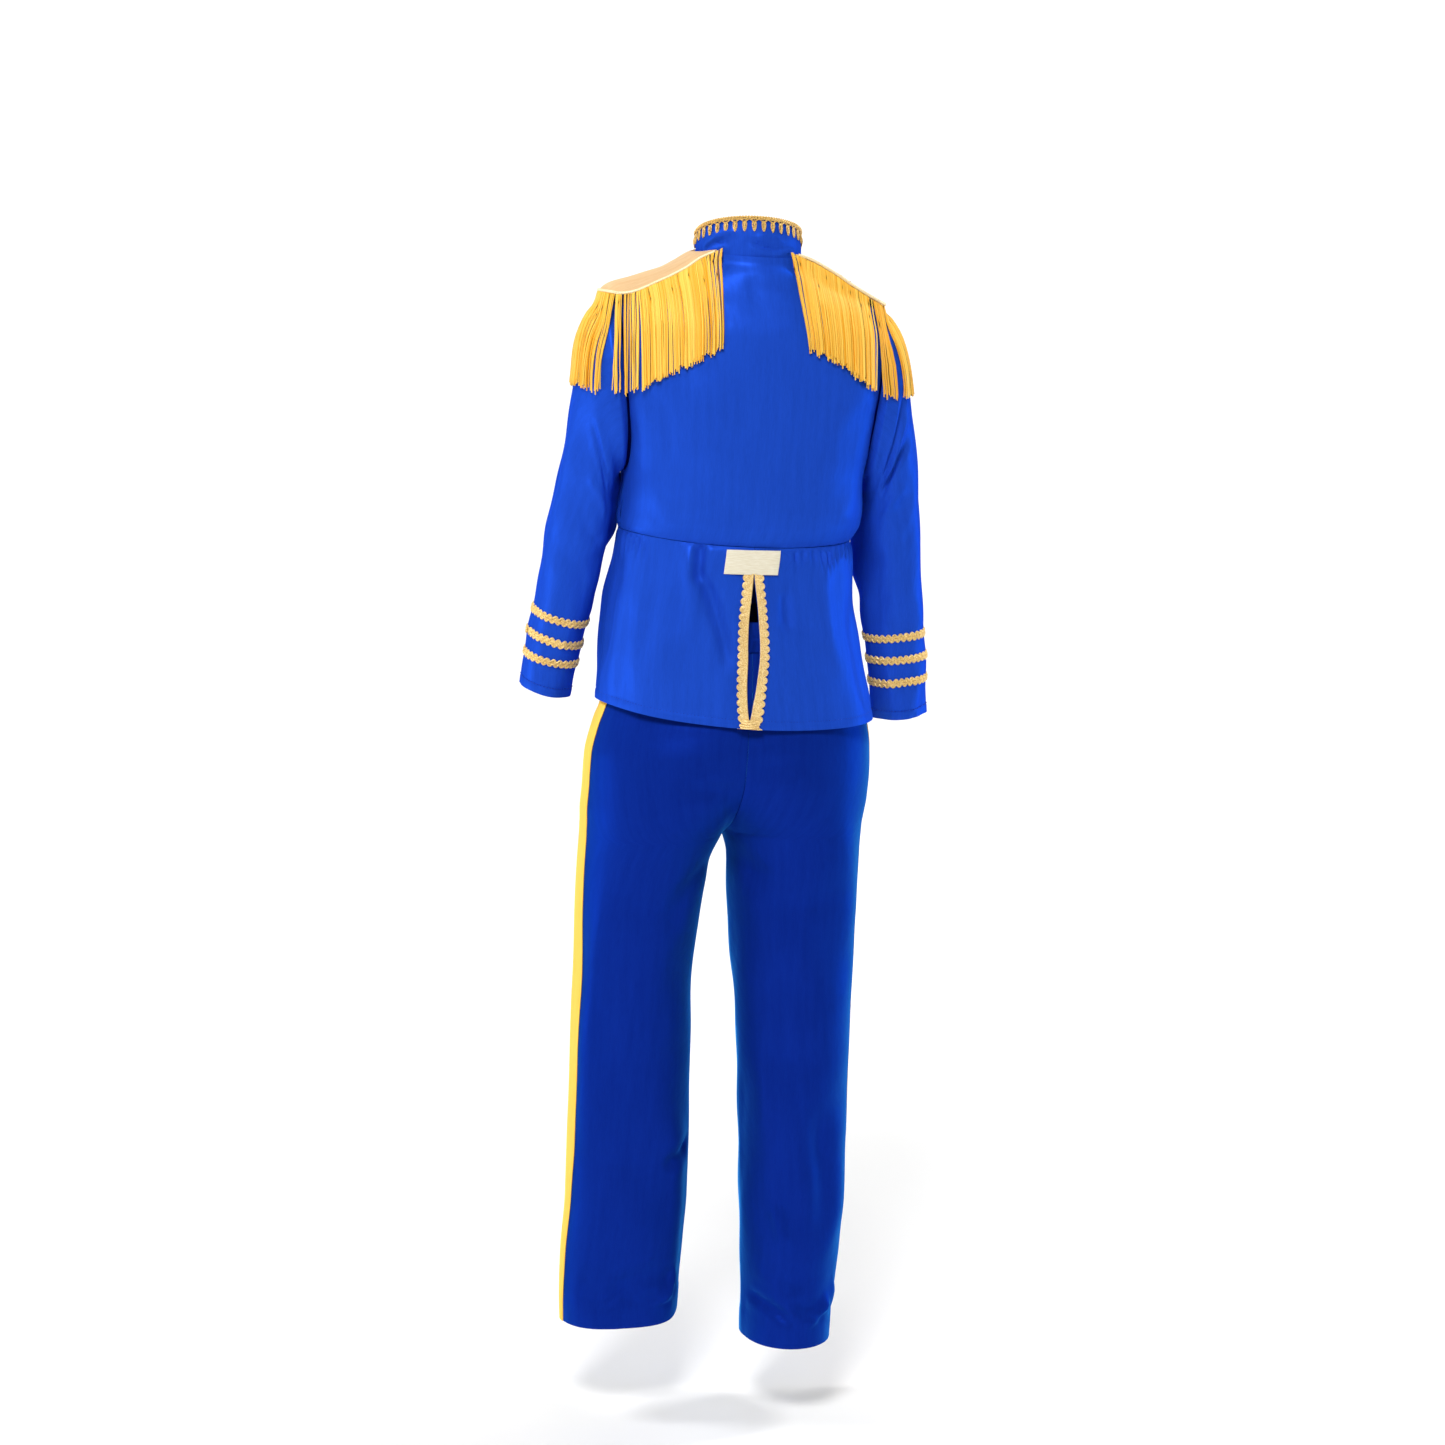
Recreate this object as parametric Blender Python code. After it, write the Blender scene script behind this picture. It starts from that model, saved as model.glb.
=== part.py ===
"""Parade drummer costume for a child: a satin jacket with fringed epaulettes and straight trousers.

The costume keeps the hollow form it has when worn. Wearer's left is +X, the front faces -Y, +Z is up,
and the origin is the middle of the neck at the collar seam. Tables are in millimetres.
"""
import math

import bpy
import numpy as np
from mathutils import Vector
from mathutils.bvhtree import BVHTree

for old in list(bpy.data.objects):
    bpy.data.objects.remove(old, do_unlink=True)

MM = 0.001
WALL = 1.5
SEAM = 0.2

BLUE = (0.020, 0.075, 0.600)
NAVY = (0.012, 0.040, 0.300)
GOLD = (0.620, 0.420, 0.130)
TAN = (0.800, 0.600, 0.350)
YELLOW = (0.930, 0.560, 0.060)
STRIPE = (0.950, 0.680, 0.160)
CREAM = (0.880, 0.850, 0.680)


def section(names, rows):
    """Smooth reading of a short table: the first column goes in, the others come out by name."""
    table = np.array(sorted(rows), dtype=float)
    keys = table[:, 0]
    values = table[:, 1:]
    steps = np.diff(keys)
    rates = np.diff(values, axis=0) / steps[:, None]
    slopes = np.zeros_like(values)
    slopes[0] = rates[0]
    slopes[-1] = rates[-1]
    for i in range(1, len(keys) - 1):
        same = rates[i - 1] * rates[i] > 0
        total = np.where(same, rates[i - 1] + rates[i], 1.0)
        slopes[i] = np.where(same, 2 * rates[i - 1] * rates[i] / total, 0.0)

    def at(key):
        key = min(max(key, keys[0]), keys[-1])
        i = min(max(int(np.searchsorted(keys, key)) - 1, 0), len(steps) - 1)
        h = steps[i]
        t = (key - keys[i]) / h
        value = ((1 + 2 * t) * (1 - t) ** 2 * values[i] + t * (1 - t) ** 2 * h * slopes[i]
                 + t * t * (3 - 2 * t) * values[i + 1] + t * t * (t - 1) * h * slopes[i + 1])
        return dict(zip(names[1:], value))
    return at


def power(value, exponent):
    return math.copysign(abs(value) ** exponent, value)


def ease(low, high, value):
    t = min(max((value - low) / (high - low), 0.0), 1.0)
    return t * t * (3 - 2 * t)


def unit(vector):
    return vector / max(float(np.linalg.norm(vector)), 1e-12)


def normal_at(surface, middle, row, turn, row_step, turn_step):
    """Outward normal of a surface that is given by a row and a turn round its middle line."""
    along = surface(row + row_step, turn) - surface(row - row_step, turn)
    across = surface(row, turn + turn_step) - surface(row, turn - turn_step)
    normal = unit(np.cross(along, across))
    if float(np.dot(normal, surface(row, turn) - middle(row))) < 0:
        normal = -normal
    return normal


def add_mesh(name, points, faces, colour):
    """One closed solid of triangles, turned outwards, with its own material."""
    corners = np.array(points)
    volume = 0.0
    for a, b, c in faces:
        volume += float(np.dot(corners[a], np.cross(corners[b], corners[c])))
    if volume < 0:
        faces = [(a, c, b) for a, b, c in faces]
    mesh = bpy.data.meshes.new(name)
    mesh.from_pydata([tuple(p * MM) for p in corners], [], faces)
    mesh.validate()
    mesh.update()
    material = bpy.data.materials.new(name)
    material.use_nodes = True
    shader = material.node_tree.nodes["Principled BSDF"]
    shader.inputs["Base Color"].default_value = (*colour, 1.0)
    shader.inputs["Roughness"].default_value = 0.5
    mesh.materials.append(material)
    item = bpy.data.objects.new(name, mesh)
    bpy.context.scene.collection.objects.link(item)
    return item


def wall_between(name, outer, inner, colour, wrap=False):
    """Closed wall between two like grids of points, as a panel or, wrapped, as a tube."""
    rows = len(outer)
    cols = len(outer[0])
    points = [p for line in outer for p in line] + [p for line in inner for p in line]
    half = rows * cols
    spans = cols if wrap else cols - 1
    faces = []

    def quad(a, b, c, d):
        faces.append((a, b, c))
        faces.append((a, c, d))

    for r in range(rows - 1):
        for c in range(spans):
            d = (c + 1) % cols
            here, right = r * cols + c, r * cols + d
            up, across = here + cols, right + cols
            quad(here, right, across, up)
            quad(here + half, up + half, across + half, right + half)
    for c in range(spans):
        d = (c + 1) % cols
        quad(c, c + half, d + half, d)
        top = (rows - 1) * cols
        quad(top + c, top + d, top + d + half, top + c + half)
    if not wrap:
        for r in range(rows - 1):
            low, high = r * cols, (r + 1) * cols
            quad(low, high, high + half, low + half)
            low, high = low + cols - 1, high + cols - 1
            quad(low, low + half, high + half, high)
    return add_mesh(name, points, faces, colour)


def shell(name, surface, middle, cells, colour, wall=WALL, lift=0.0, wrap=False, steps=(0.5, 0.5)):
    """Wall on a surface at the given (row, turn) cells; the outer points are kept for what lies on it."""
    outer, inner = [], []
    for line in cells:
        out_line, in_line = [], []
        for row, turn in line:
            point = surface(row, turn)
            normal = normal_at(surface, middle, row, turn, *steps)
            out_line.append(point + normal * lift)
            in_line.append(point + normal * (lift - wall))
        outer.append(out_line)
        inner.append(in_line)
    wall_between(name, outer, inner, colour, wrap)
    return outer


def turn_for(surface, row, turn, distance):
    """Change of turn that moves a point sideways by a distance."""
    step = float(np.linalg.norm(surface(row, turn + 0.5) - surface(row, turn - 0.5)))
    return distance / max(step, 1e-6)


def skin_tree(grids):
    """Outer faces of finished walls, for what is laid over them."""
    points, faces = [], []
    for grid, inside in grids:
        start = len(points)
        cols = len(grid[0])
        for line in grid:
            points.extend(line)
        for r in range(len(grid) - 1):
            for c in range(cols - 1):
                a = start + r * cols + c
                quads = [(a, a + 1, a + cols + 1), (a, a + cols + 1, a + cols)]
                for face in quads:
                    p, q, s = (np.array(points[i]) for i in face)
                    if float(np.dot(np.cross(q - p, s - p), p - inside)) < 0:
                        face = (face[0], face[2], face[1])
                    faces.append(face)
    return BVHTree.FromPolygons([Vector(p) for p in points], faces)


# The jacket body, from the neck seam down to the waist seam, read by the height of its side line.
# "tilt" is the rise of a ring towards the wearer's left, whose shoulder is the higher one.
BODY = section(
    ("side", "back_z", "front_z", "mid_x", "mid_y", "half", "back", "front", "round", "tilt"), [
        (-2.0, -4, -26, 0, 0, 53.5, 52, 51, 2.00, 0.055),
        (-10.0, -10.5, -33, 0, 0, 57, 53, 52.5, 2.00, 0.060),
        (-20.0, -21, -44, 0, 0, 77, 59, 58, 2.00, 0.060),
        (-33.0, -37, -60, 0, -1, 105, 64, 66, 2.15, 0.070),
        (-48.5, -53, -80, 0, -3, 131, 73, 77, 2.40, 0.068),
        (-78.0, -79, -104, 1, -5, 136, 85, 87, 2.60, 0.060),
        (-116.0, -116, -131, 2, -6, 137, 90, 92, 2.60, 0.052),
        (-156.0, -155, -162, 3, -6, 132, 91, 93, 2.50, 0.046),
        (-190.0, -190, -192, 4, -6, 125.5, 90.5, 93, 2.30, 0.045),
        (-218.0, -218, -219, 5, -6, 120.5, 90.5, 92, 2.20, 0.046),
        (-246.0, -247, -246, 6, -6, 122, 91.5, 91.5, 2.20, 0.052),
        (-262.0, -265, -262, 8, -7, 121.5, 91.5, 91, 2.20, 0.058),
        (-271.0, -276, -271, 10, -8, 119.5, 89, 89, 2.20, 0.060),
        (-277.5, -284, -277, 12, -8, 116, 84.5, 85, 2.20, 0.062),
    ])
TIP = -48.5
UNDERARM = -218.0
ARMHOLE_DEPTH = 23.5
ARMHOLE_ROWS = 8
WAIST = -277.5
NECK = -2.0
OVERLAP = 9.0


def closing(turn):
    """How far the left front stands off where it laps over the right one."""
    reach = (abs(turn) - 180.0) if turn > 0 else -999.0
    return 2.7 * ease(-30.0, -12.0, reach)


def body(side, turn, lap=False):
    s = BODY(side)
    c, q = math.cos(math.radians(turn)), math.sin(math.radians(turn))
    power_of = 2.0 / s["round"]
    depth = s["back"] if c > 0 else s["front"]
    x = s["mid_x"] + s["half"] * power(q, power_of)
    y = s["mid_y"] + depth * power(c, power_of)
    z = side + ((s["back_z"] if c > 0 else s["front_z"]) - side) * c * c + s["tilt"] * x
    point = np.array((x, y, z))
    if lap:
        point = point + unit(np.array((x - s["mid_x"], y - s["mid_y"], 0.0))) * closing(turn)
    return point


def body_middle(side):
    s = BODY(side)
    return np.array((s["mid_x"], s["mid_y"], 0.5 * (s["back_z"] + s["front_z"]) - 8.0))


def lapped(side, turn):
    return body(side, turn, True)


def armhole(turn_on):
    """Point on the armhole seam: 0 is the shoulder tip, 90 the back, 180 the underarm, 270 the front."""
    side = UNDERARM + (TIP - UNDERARM) * (1 + math.cos(math.radians(turn_on))) / 2
    return side, 90.0 - ARMHOLE_DEPTH * math.sin(math.radians(turn_on))


body_rows = [NECK, -10.0, -20.0, -33.0]
body_rows += [armhole(180.0 * i / ARMHOLE_ROWS)[0] for i in range(ARMHOLE_ROWS + 1)]
body_rows += [-234.0, -250.0, -262.0, -271.0, WAIST]


def edge_turn(side):
    """Where a body panel ends: at the shoulder seam, the armhole or the side seam."""
    if TIP > side > UNDERARM:
        share = (side - UNDERARM) / (TIP - UNDERARM)
        return 90.0 - ARMHOLE_DEPTH * math.sin(math.acos(2 * share - 1))
    return 90.0


def seam_edge(side):
    """The panel's last turn, held back by half a seam gap where it meets the other body panel."""
    edge = edge_turn(side)
    return edge - (turn_for(body, side, 90.0, SEAM) if edge > 89.99 else 0.0)


def back_cells(columns=14):
    return [[(side, seam_edge(side) * (2.0 * i / columns - 1.0)) for i in range(columns + 1)]
            for side in body_rows]


back_grid = shell("back_bodice", body, body_middle, back_cells(), BLUE)


def front_cells(sign, columns=8):
    cells = []
    for side in body_rows:
        lap = turn_for(body, side, 178.0, OVERLAP)
        first = 180.0 - seam_edge(side)
        last = 180.0 + lap
        cells.append([(side, sign * (first + (last - first) * i / columns)) for i in range(columns + 1)])
    return cells


left_grid = shell("front_left_bodice", lapped, body_middle, front_cells(1), BLUE)
right_grid = shell("front_right_bodice", body, body_middle, front_cells(-1), BLUE)


# The stand collar. Its top edge lies in a plane that drops towards the front, and rises to the left.
COLLAR_OPEN = 177.6


def collar(up, turn):
    c, q = math.cos(math.radians(turn)), math.sin(math.radians(turn))
    low = body(NECK, turn)
    half = 52.6 - 2.2 * up
    back = 51.2 - 2.6 * up
    front = 50.2 - 1.6 * up
    x = half * q
    y = (back if c > 0 else front) * c
    z_low = low[2] + 0.9
    z_high = 18.5 + 16.5 * power(c, 0.85) + 0.055 * x if c > 0 else 18.5 - 13.5 * abs(c) ** 1.2 + 0.055 * x
    return np.array((x, y, z_low + (z_high - z_low) * up))


def collar_middle(up):
    return np.array((0.0, 0.0, 8.0))


COLLAR_SPANS = 24
collar_turns = [COLLAR_OPEN * (2.0 * i / COLLAR_SPANS - 1.0) for i in range(COLLAR_SPANS + 1)]
collar_ups = [0.0, 0.35, 0.68, 1.0]
shell("collar", collar, collar_middle, [[(u, t) for t in collar_turns] for u in collar_ups],
      BLUE, steps=(0.02, 1.0))

# Gimp lace round the top of the collar: a solid band above a row of leaf-shaped drops.
TRIM = {"leaves": 34, "band": 6.0, "drop": 13.5, "over": 0.8, "wall": 1.2, "off": 0.5, "short": 0.4}
BARE_COLLAR = 3.0


def collar_height(turn):
    return float(np.linalg.norm(collar(1.0, turn) - collar(0.0, turn)))


trim_top, trim_edge = [], []
for i in range(2 * TRIM["leaves"] + 1):
    turn = (COLLAR_OPEN - TRIM["short"]) * (i / TRIM["leaves"] - 1.0)
    tall = collar_height(turn)
    drop = min(TRIM["drop"], tall - BARE_COLLAR) if i % 2 else TRIM["band"]
    trim_top.append((1.0 + TRIM["over"] / tall, turn))
    trim_edge.append((1.0 - drop / tall, turn))
shell("collar_trim", collar, collar_middle, [trim_top, trim_edge], GOLD,
      wall=TRIM["wall"], lift=TRIM["off"] + TRIM["wall"], steps=(0.02, 1.0))


# The peplum, from the waist seam (0) to the hem (1), with gathers under the waist seam.
PEPLUM = section(
    ("down", "side_z", "back_z", "front_z", "mid_x", "mid_y", "half", "back", "front", "tilt"), [
        (0.00, -278.1, -284.6, -277.6, 12.0, -8, 116.0, 84.5, 85, 0.062),
        (0.04, -285, -291, -284, 12.0, -8, 117.5, 86.0, 86, 0.063),
        (0.12, -299, -305, -298, 12.5, -8, 119.5, 87.5, 87.5, 0.065),
        (0.26, -323, -330, -322, 14.0, -8, 121.5, 89.5, 89, 0.068),
        (0.42, -351, -359, -350, 15.5, -9, 126.0, 91.5, 90.5, 0.072),
        (0.58, -379, -387, -378, 15.5, -9, 129.5, 93.5, 92, 0.076),
        (0.74, -407, -416, -406, 14.5, -9, 133.5, 95.0, 93, 0.080),
        (0.88, -432, -441, -431, 12.5, -9, 137.0, 96.5, 94.5, 0.084),
        (1.00, -453, -462, -452, 11.0, -9, 139.5, 97.5, 96, 0.086),
    ])
HEM_ROWS = [0.0, 0.045, 0.11, 0.20, 0.36, 0.54, 0.72, 0.88, 1.0]
VENT = section(("down", "half_gap"), [
    (0.0, 0.2), (0.13, 0.2), (0.2, 0.9), (0.4, 3.9), (0.55, 4.75), (0.72, 3.8), (0.9, 1.6), (0.965, 0.3),
    (1.0, 0.2)])
VENT_LINE = section(("down", "turn"), [
    (0.0, -0.6), (0.12, -0.4), (0.42, -1.0), (0.58, -1.0), (0.74, 0.1), (0.88, 1.4), (1.0, 2.2)])

# Bands of gathers under the waist seam: from and to are turns round the body, wide is one gather.
GATHERS = [
    {"from": -64.0, "to": -17.5, "wide": 9.0, "high": 1.5},
    {"from": 48.0, "to": 80.0, "wide": 9.5, "high": 1.3},
    {"from": 104.0, "to": 144.0, "wide": 11.5, "high": 1.3},
    {"from": -144.0, "to": -104.0, "wide": 11.5, "high": 1.3},
]
# Long soft folds of the peplum: turn and down at the middle, half spans, depth and lean.
PEPLUM_FOLDS = [
    {"turn": 26.0, "down": 0.25, "wide": 5.0, "long": 0.28, "deep": 2.4, "lean": -18.0},
    {"turn": -38.0, "down": 0.62, "wide": 9.0, "long": 0.45, "deep": 1.8, "lean": 6.0},
    {"turn": 66.0, "down": 0.6, "wide": 9.0, "long": 0.4, "deep": 1.6, "lean": -8.0},
    {"turn": -120.0, "down": 0.6, "wide": 10.0, "long": 0.5, "deep": 2.0, "lean": 5.0},
    {"turn": 128.0, "down": 0.6, "wide": 10.0, "long": 0.5, "deep": 2.0, "lean": -5.0},
]


def folds(table, row_name, row, turn):
    total = 0.0
    for fold in table:
        across = turn - fold["turn"] - fold["lean"] * (row - fold[row_name]) / fold["long"] * 0.5
        along = (row - fold[row_name]) / fold["long"]
        total -= fold["deep"] * math.exp(-(across / fold["wide"]) ** 2 - along ** 2)
    return total


def peplum_base(down, turn, out=0.0):
    s = PEPLUM(down)
    c, q = math.cos(math.radians(turn)), math.sin(math.radians(turn))
    power_of = 2.0 / 2.2
    depth = (s["back"] if c > 0 else s["front"]) + out
    x = s["mid_x"] + (s["half"] + out) * power(q, power_of)
    y = s["mid_y"] + depth * power(c, power_of)
    z = s["side_z"] + ((s["back_z"] if c > 0 else s["front_z"]) - s["side_z"]) * c * c + s["tilt"] * x
    return np.array((x, y, z))


def gather(down, turn, crest):
    """Height of a gather at a column that is a crest (1) or a valley (-1) of its band."""
    for band in GATHERS:
        if band["from"] <= turn <= band["to"]:
            return crest * band["high"] * ease(0.0, 0.03, down) * (1.0 - ease(0.08, 0.26, down))
    return 0.0


def peplum(down, turn):
    return peplum_base(down, turn, folds(PEPLUM_FOLDS, "down", down, turn))


def peplum_lapped(down, turn):
    return peplum_base(down, turn, folds(PEPLUM_FOLDS, "down", down, turn) + closing(turn))


def peplum_middle(down):
    s = PEPLUM(down)
    return np.array((s["mid_x"], s["mid_y"], s["side_z"]))


def peplum_turns(first, last):
    """Columns of one peplum panel: two to a gather in the bands, wider ones between."""
    turns, crests = [first], [0]
    while turns[-1] < last - 0.01:
        here = turns[-1]
        wide, crest = 15.0, 0
        for band in GATHERS:
            if band["from"] - 0.01 <= here < band["to"] - 0.01:
                wide, crest = band["wide"] / 2.0, (1 if crests[-1] <= 0 else -1)
                limit = band["to"]
                break
        else:
            limit = min([b["from"] for b in GATHERS if b["from"] > here + 0.01] + [last])
        step = turn_for(peplum_base, 0.1, here, wide)
        count = max(int(round((min(limit, last) - here) / step)), 1)
        turns.append(here + (min(limit, last) - here) / count)
        crests.append(crest if turns[-1] < last - 0.01 else 0)
    return turns, crests


def peplum_panel(name, surface, first, last, vent_side=0):
    turns, crests = peplum_turns(first, last)
    low_seam = turn_for(peplum_base, 0.5, 90.0, SEAM)
    outer, inner = [], []
    for down in HEM_ROWS:
        out_line, in_line = [], []
        for turn, crest in zip(turns, crests):
            share = (turn - first) / (last - first)
            shift_first = low_seam if abs(abs(first) - 90.0) < 0.1 else 0.0
            shift_last = -low_seam if abs(abs(last) - 90.0) < 0.1 else 0.0
            gap = turn_for(peplum_base, down, 0.0, VENT(down)["half_gap"])
            if vent_side > 0:
                shift_first = VENT_LINE(down)["turn"] + gap
            if vent_side < 0:
                shift_last = VENT_LINE(down)["turn"] - gap
            at = turn + shift_first * (1 - share) + shift_last * share
            point = surface(down, at)
            normal = normal_at(surface, peplum_middle, down, at, 0.01, 0.5)
            point = point + normal * gather(down, turn, crest)
            out_line.append(point)
            in_line.append(point - normal * WALL)
        outer.append(out_line)
        inner.append(in_line)
    wall_between(name, outer, inner, BLUE)


lap_turn = turn_for(peplum_base, 0.5, 178.0, OVERLAP)
peplum_panel("peplum_back_left", peplum, 0.0, 90.0, 1)
peplum_panel("peplum_back_right", peplum, -90.0, 0.0, -1)
peplum_panel("peplum_front_left", peplum_lapped, 90.0, 180.0 + lap_turn)
peplum_panel("peplum_front_right", peplum, -180.0 - lap_turn, -90.0)


def peplum_at(x, z):
    """Row and turn of the point of the back peplum that lies at a given x and height."""
    down, turn = 0.5, 0.0
    for _ in range(30):
        point = peplum(down, turn)
        turn += (x - point[0]) / 2.4
        down += (point[2] - z) / 180.0
        down = min(max(down, 0.0), 1.0)
    return down, turn


# Cream tab over the top of the vent, tucked up against the waist seam.
TAB = {"left": 37.5, "right": -16.0, "top": -286.6, "bottom": -310.0, "lean": 3.6, "tilt": 0.045,
       "middle": 10.0, "wall": 1.2, "off": 0.9}
TAB_SPANS = 6
tab_cells = []
for share in (0.0, 0.33, 0.67, 1.0):
    z = TAB["top"] + (TAB["bottom"] - TAB["top"]) * share
    line = []
    for i in range(TAB_SPANS + 1):
        x = TAB["right"] + (TAB["left"] - TAB["right"]) * i / TAB_SPANS + TAB["lean"] * share
        line.append(peplum_at(x, z + TAB["tilt"] * (x - TAB["middle"])))
    tab_cells.append(line)
shell("back_tab", peplum, peplum_middle, tab_cells, CREAM, wall=TAB["wall"], lift=TAB["off"] + TAB["wall"],
      steps=(0.01, 0.5))

# Gimp braid down both edges of the vent, scalloped on its outer side, and the stub that ends it.
BRAID = {"top": -312.3, "bottom": -452.0, "wide": 8.2, "scallop": 2.2, "pitch": 7.6, "wall": 1.3,
         "off": 0.6, "beside": 0.15}
STUB = {"top": -453.6, "bottom": -461.3, "top_half": 7.5, "middle_half": 10.0, "bottom_half": 12.0,
        "wall": 2.0, "off": 0.6}


def vent_braid(name, side):
    count = 2 * int(round((BRAID["top"] - BRAID["bottom"]) / BRAID["pitch"]))
    outer, inner = [], []
    for wide, scallop in ((0.0, 0.0), (BRAID["wide"], BRAID["scallop"])):
        out_line, in_line = [], []
        for i in range(count + 1):
            z = BRAID["top"] + (BRAID["bottom"] - BRAID["top"]) * i / count
            down, _ = peplum_at(peplum(0.5, 0.0)[0], z)
            offset = VENT(down)["half_gap"] + BRAID["beside"] + wide - (scallop if i % 2 == 0 else 0.0)
            at = VENT_LINE(down)["turn"] + side * turn_for(peplum_base, down, 0.0, offset)
            point = peplum(down, at)
            normal = normal_at(peplum, peplum_middle, down, at, 0.01, 0.5)
            out_line.append(point + normal * (BRAID["off"] + BRAID["wall"]))
            in_line.append(point + normal * BRAID["off"])
        outer.append(out_line)
        inner.append(in_line)
    wall_between(name, outer, inner, GOLD)


vent_braid("vent_braid_left", 1)
vent_braid("vent_braid_right", -1)

stub_cells = []
for share, half in ((0.0, STUB["top_half"]), (0.4, STUB["middle_half"]), (1.0, STUB["bottom_half"])):
    z = STUB["top"] + (STUB["bottom"] - STUB["top"]) * share
    middle_x = peplum(0.97, VENT_LINE(0.97)["turn"])[0]
    stub_cells.append([peplum_at(middle_x + half * k, z) for k in (-1.0, -0.5, 0.0, 0.5, 1.0)])
shell("vent_end", peplum, peplum_middle, stub_cells, GOLD, wall=STUB["wall"],
      lift=STUB["off"] + STUB["wall"], steps=(0.01, 0.5))


# Sleeves. Each row is a ring: its top point, its underarm point, how far forward it hangs, half its
# depth, and how far its plane leans as the forearm swings forward.
SLEEVE_LEFT = section(("ring", "top_x", "top_z", "low_x", "low_z", "mid_y", "half_deep", "lean"), [
    (1, 147, -47, 128.0, -213.5, -1, 46.5, 0),
    (2, 160, -63, 129.8, -217, -3, 45.5, 1),
    (3, 169, -89, 131.0, -225, -6, 43.5, 2),
    (4, 173, -130, 131.8, -237, -10, 41, 3),
    (5, 179, -180, 132.8, -255, -15, 38, 4),
    (6, 188, -225, 135.0, -276, -21, 35.5, 6),
    (7, 197, -270, 140.0, -302, -28, 33.5, 8),
    (8, 203, -312, 147.0, -333, -35, 32, 9),
    (9, 209, -352, 155.5, -365, -42, 30, 10),
    (10, 213.5, -374, 160.5, -386.5, -46, 29, 10),
    (11, 217, -395, 165.0, -405.5, -50, 28.5, 10),
    (12, 221.5, -428, 171.5, -440, -56, 28.5, 10),
])
SLEEVE_RIGHT = section(("ring", "top_x", "top_z", "low_x", "low_z", "mid_y", "half_deep", "lean"), [
    (1, -141, -65, -119.0, -225.5, -1, 46.5, 0),
    (2, -152, -81, -120.0, -229, -3, 45.5, 0),
    (3, -161, -106, -120.5, -235, -6, 43.5, 1),
    (4, -168, -143, -121.0, -246, -10, 41, 1),
    (5, -174, -188, -121.0, -262, -14, 38.5, 2),
    (6, -178.5, -234, -121.0, -284, -19, 36, 2),
    (7, -182.5, -280, -121.5, -308, -24, 34, 3),
    (8, -186, -324, -123.5, -342, -29, 32.5, 4),
    (9, -189, -382, -128.0, -387, -33, 31, 4),
    (10, -190.5, -406, -131.0, -409, -35, 30, 4),
    (11, -192, -429, -134.5, -433, -37, 29.5, 4),
    (12, -194, -466, -138.0, -471, -40, 29, 4),
])
CUFF_BRAID = {"wide": 7.8, "wall": 1.3, "off": 0.4, "rings": (9.0, 10.0, 11.0)}
EASE_OUT = 0.5
ELBOW_FOLDS = [
    {"ring": 4.6, "turn": 120.0, "wide": 26.0, "long": 0.55, "deep": 2.6, "lean": 10.0},
    {"ring": 6.2, "turn": 75.0, "wide": 24.0, "long": 0.5, "deep": 2.4, "lean": -14.0},
    {"ring": 7.3, "turn": 120.0, "wide": 28.0, "long": 0.4, "deep": 2.0, "lean": 12.0},
    {"ring": 6.6, "turn": 265.0, "wide": 30.0, "long": 0.5, "deep": 2.6, "lean": 8.0},
    {"ring": 5.0, "turn": 300.0, "wide": 26.0, "long": 0.5, "deep": 2.0, "lean": -8.0},
]


def make_sleeve(table, side):
    def out_of_seam(turn_on):
        point = armhole_point(turn_on)
        along = armhole_point(turn_on + 4.0) - armhole_point(turn_on - 4.0)
        row, turn = armhole_cell(turn_on)
        normal = normal_at(body, body_middle, row, turn, 0.5, 0.5)
        out = unit(np.cross(along, normal))
        centre = 0.5 * (armhole_point(0.0) + armhole_point(180.0))
        if float(np.dot(out, centre - point)) < 0:
            out = -out
        return point + out * EASE_OUT

    def armhole_cell(turn_on):
        row, turn = armhole(turn_on % 360.0)
        return row, side * turn

    def armhole_point(turn_on):
        row, turn = armhole_cell(turn_on)
        return body(row, turn)

    def ring_point(ring, turn_on):
        s = table(ring)
        top = np.array((s["top_x"], 0.0, s["top_z"]))
        low = np.array((s["low_x"], 0.0, s["low_z"]))
        lean = math.radians(s["lean"])
        deep = np.array((0.0, math.cos(lean), -math.sin(lean)))
        c, q = math.cos(math.radians(turn_on)), math.sin(math.radians(turn_on))
        centre = 0.5 * (top + low) + np.array((0.0, s["mid_y"], 0.0))
        half = 0.5 * (top - low)
        fold = 1.0 + folds(ELBOW_FOLDS, "ring", ring, turn_on % 360.0) / 30.0
        return centre + (half * c + deep * s["half_deep"] * q) * fold

    def surface(ring, turn_on):
        if ring >= 1.0:
            return ring_point(ring, turn_on)
        share = max(ring, 0.0)
        return out_of_seam(turn_on) * (1 - share) + ring_point(1.0, turn_on) * share

    def middle(ring):
        return 0.25 * sum(surface(ring, t) for t in (0.0, 90.0, 180.0, 270.0))
    return surface, middle


SLEEVE_COLUMNS = 2 * ARMHOLE_ROWS


def sleeve_turns():
    return [360.0 * i / SLEEVE_COLUMNS for i in range(SLEEVE_COLUMNS)]


def ring_for(table, ring, distance):
    """Ring number a little way down the sleeve from another one."""
    step = 0.1
    here, there = table(ring), table(ring + step)
    length = math.hypot(there["top_z"] - here["top_z"], there["low_z"] - here["low_z"]) / math.sqrt(2)
    return ring + step * distance / max(length, 1e-6)


def cuff_braid(name, surface, middle, rings):
    outer, inner = [], []
    for ring in rings:
        out_line, in_line = [], []
        for turn in sleeve_turns():
            point = surface(ring, turn)
            normal = normal_at(surface, middle, ring, turn, 0.03, 1.0)
            out_line.append(point + normal * (CUFF_BRAID["off"] + CUFF_BRAID["wall"]))
            in_line.append(point + normal * CUFF_BRAID["off"])
        outer.append(out_line)
        inner.append(in_line)
    wall_between(name, outer, inner, GOLD, wrap=True)


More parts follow.
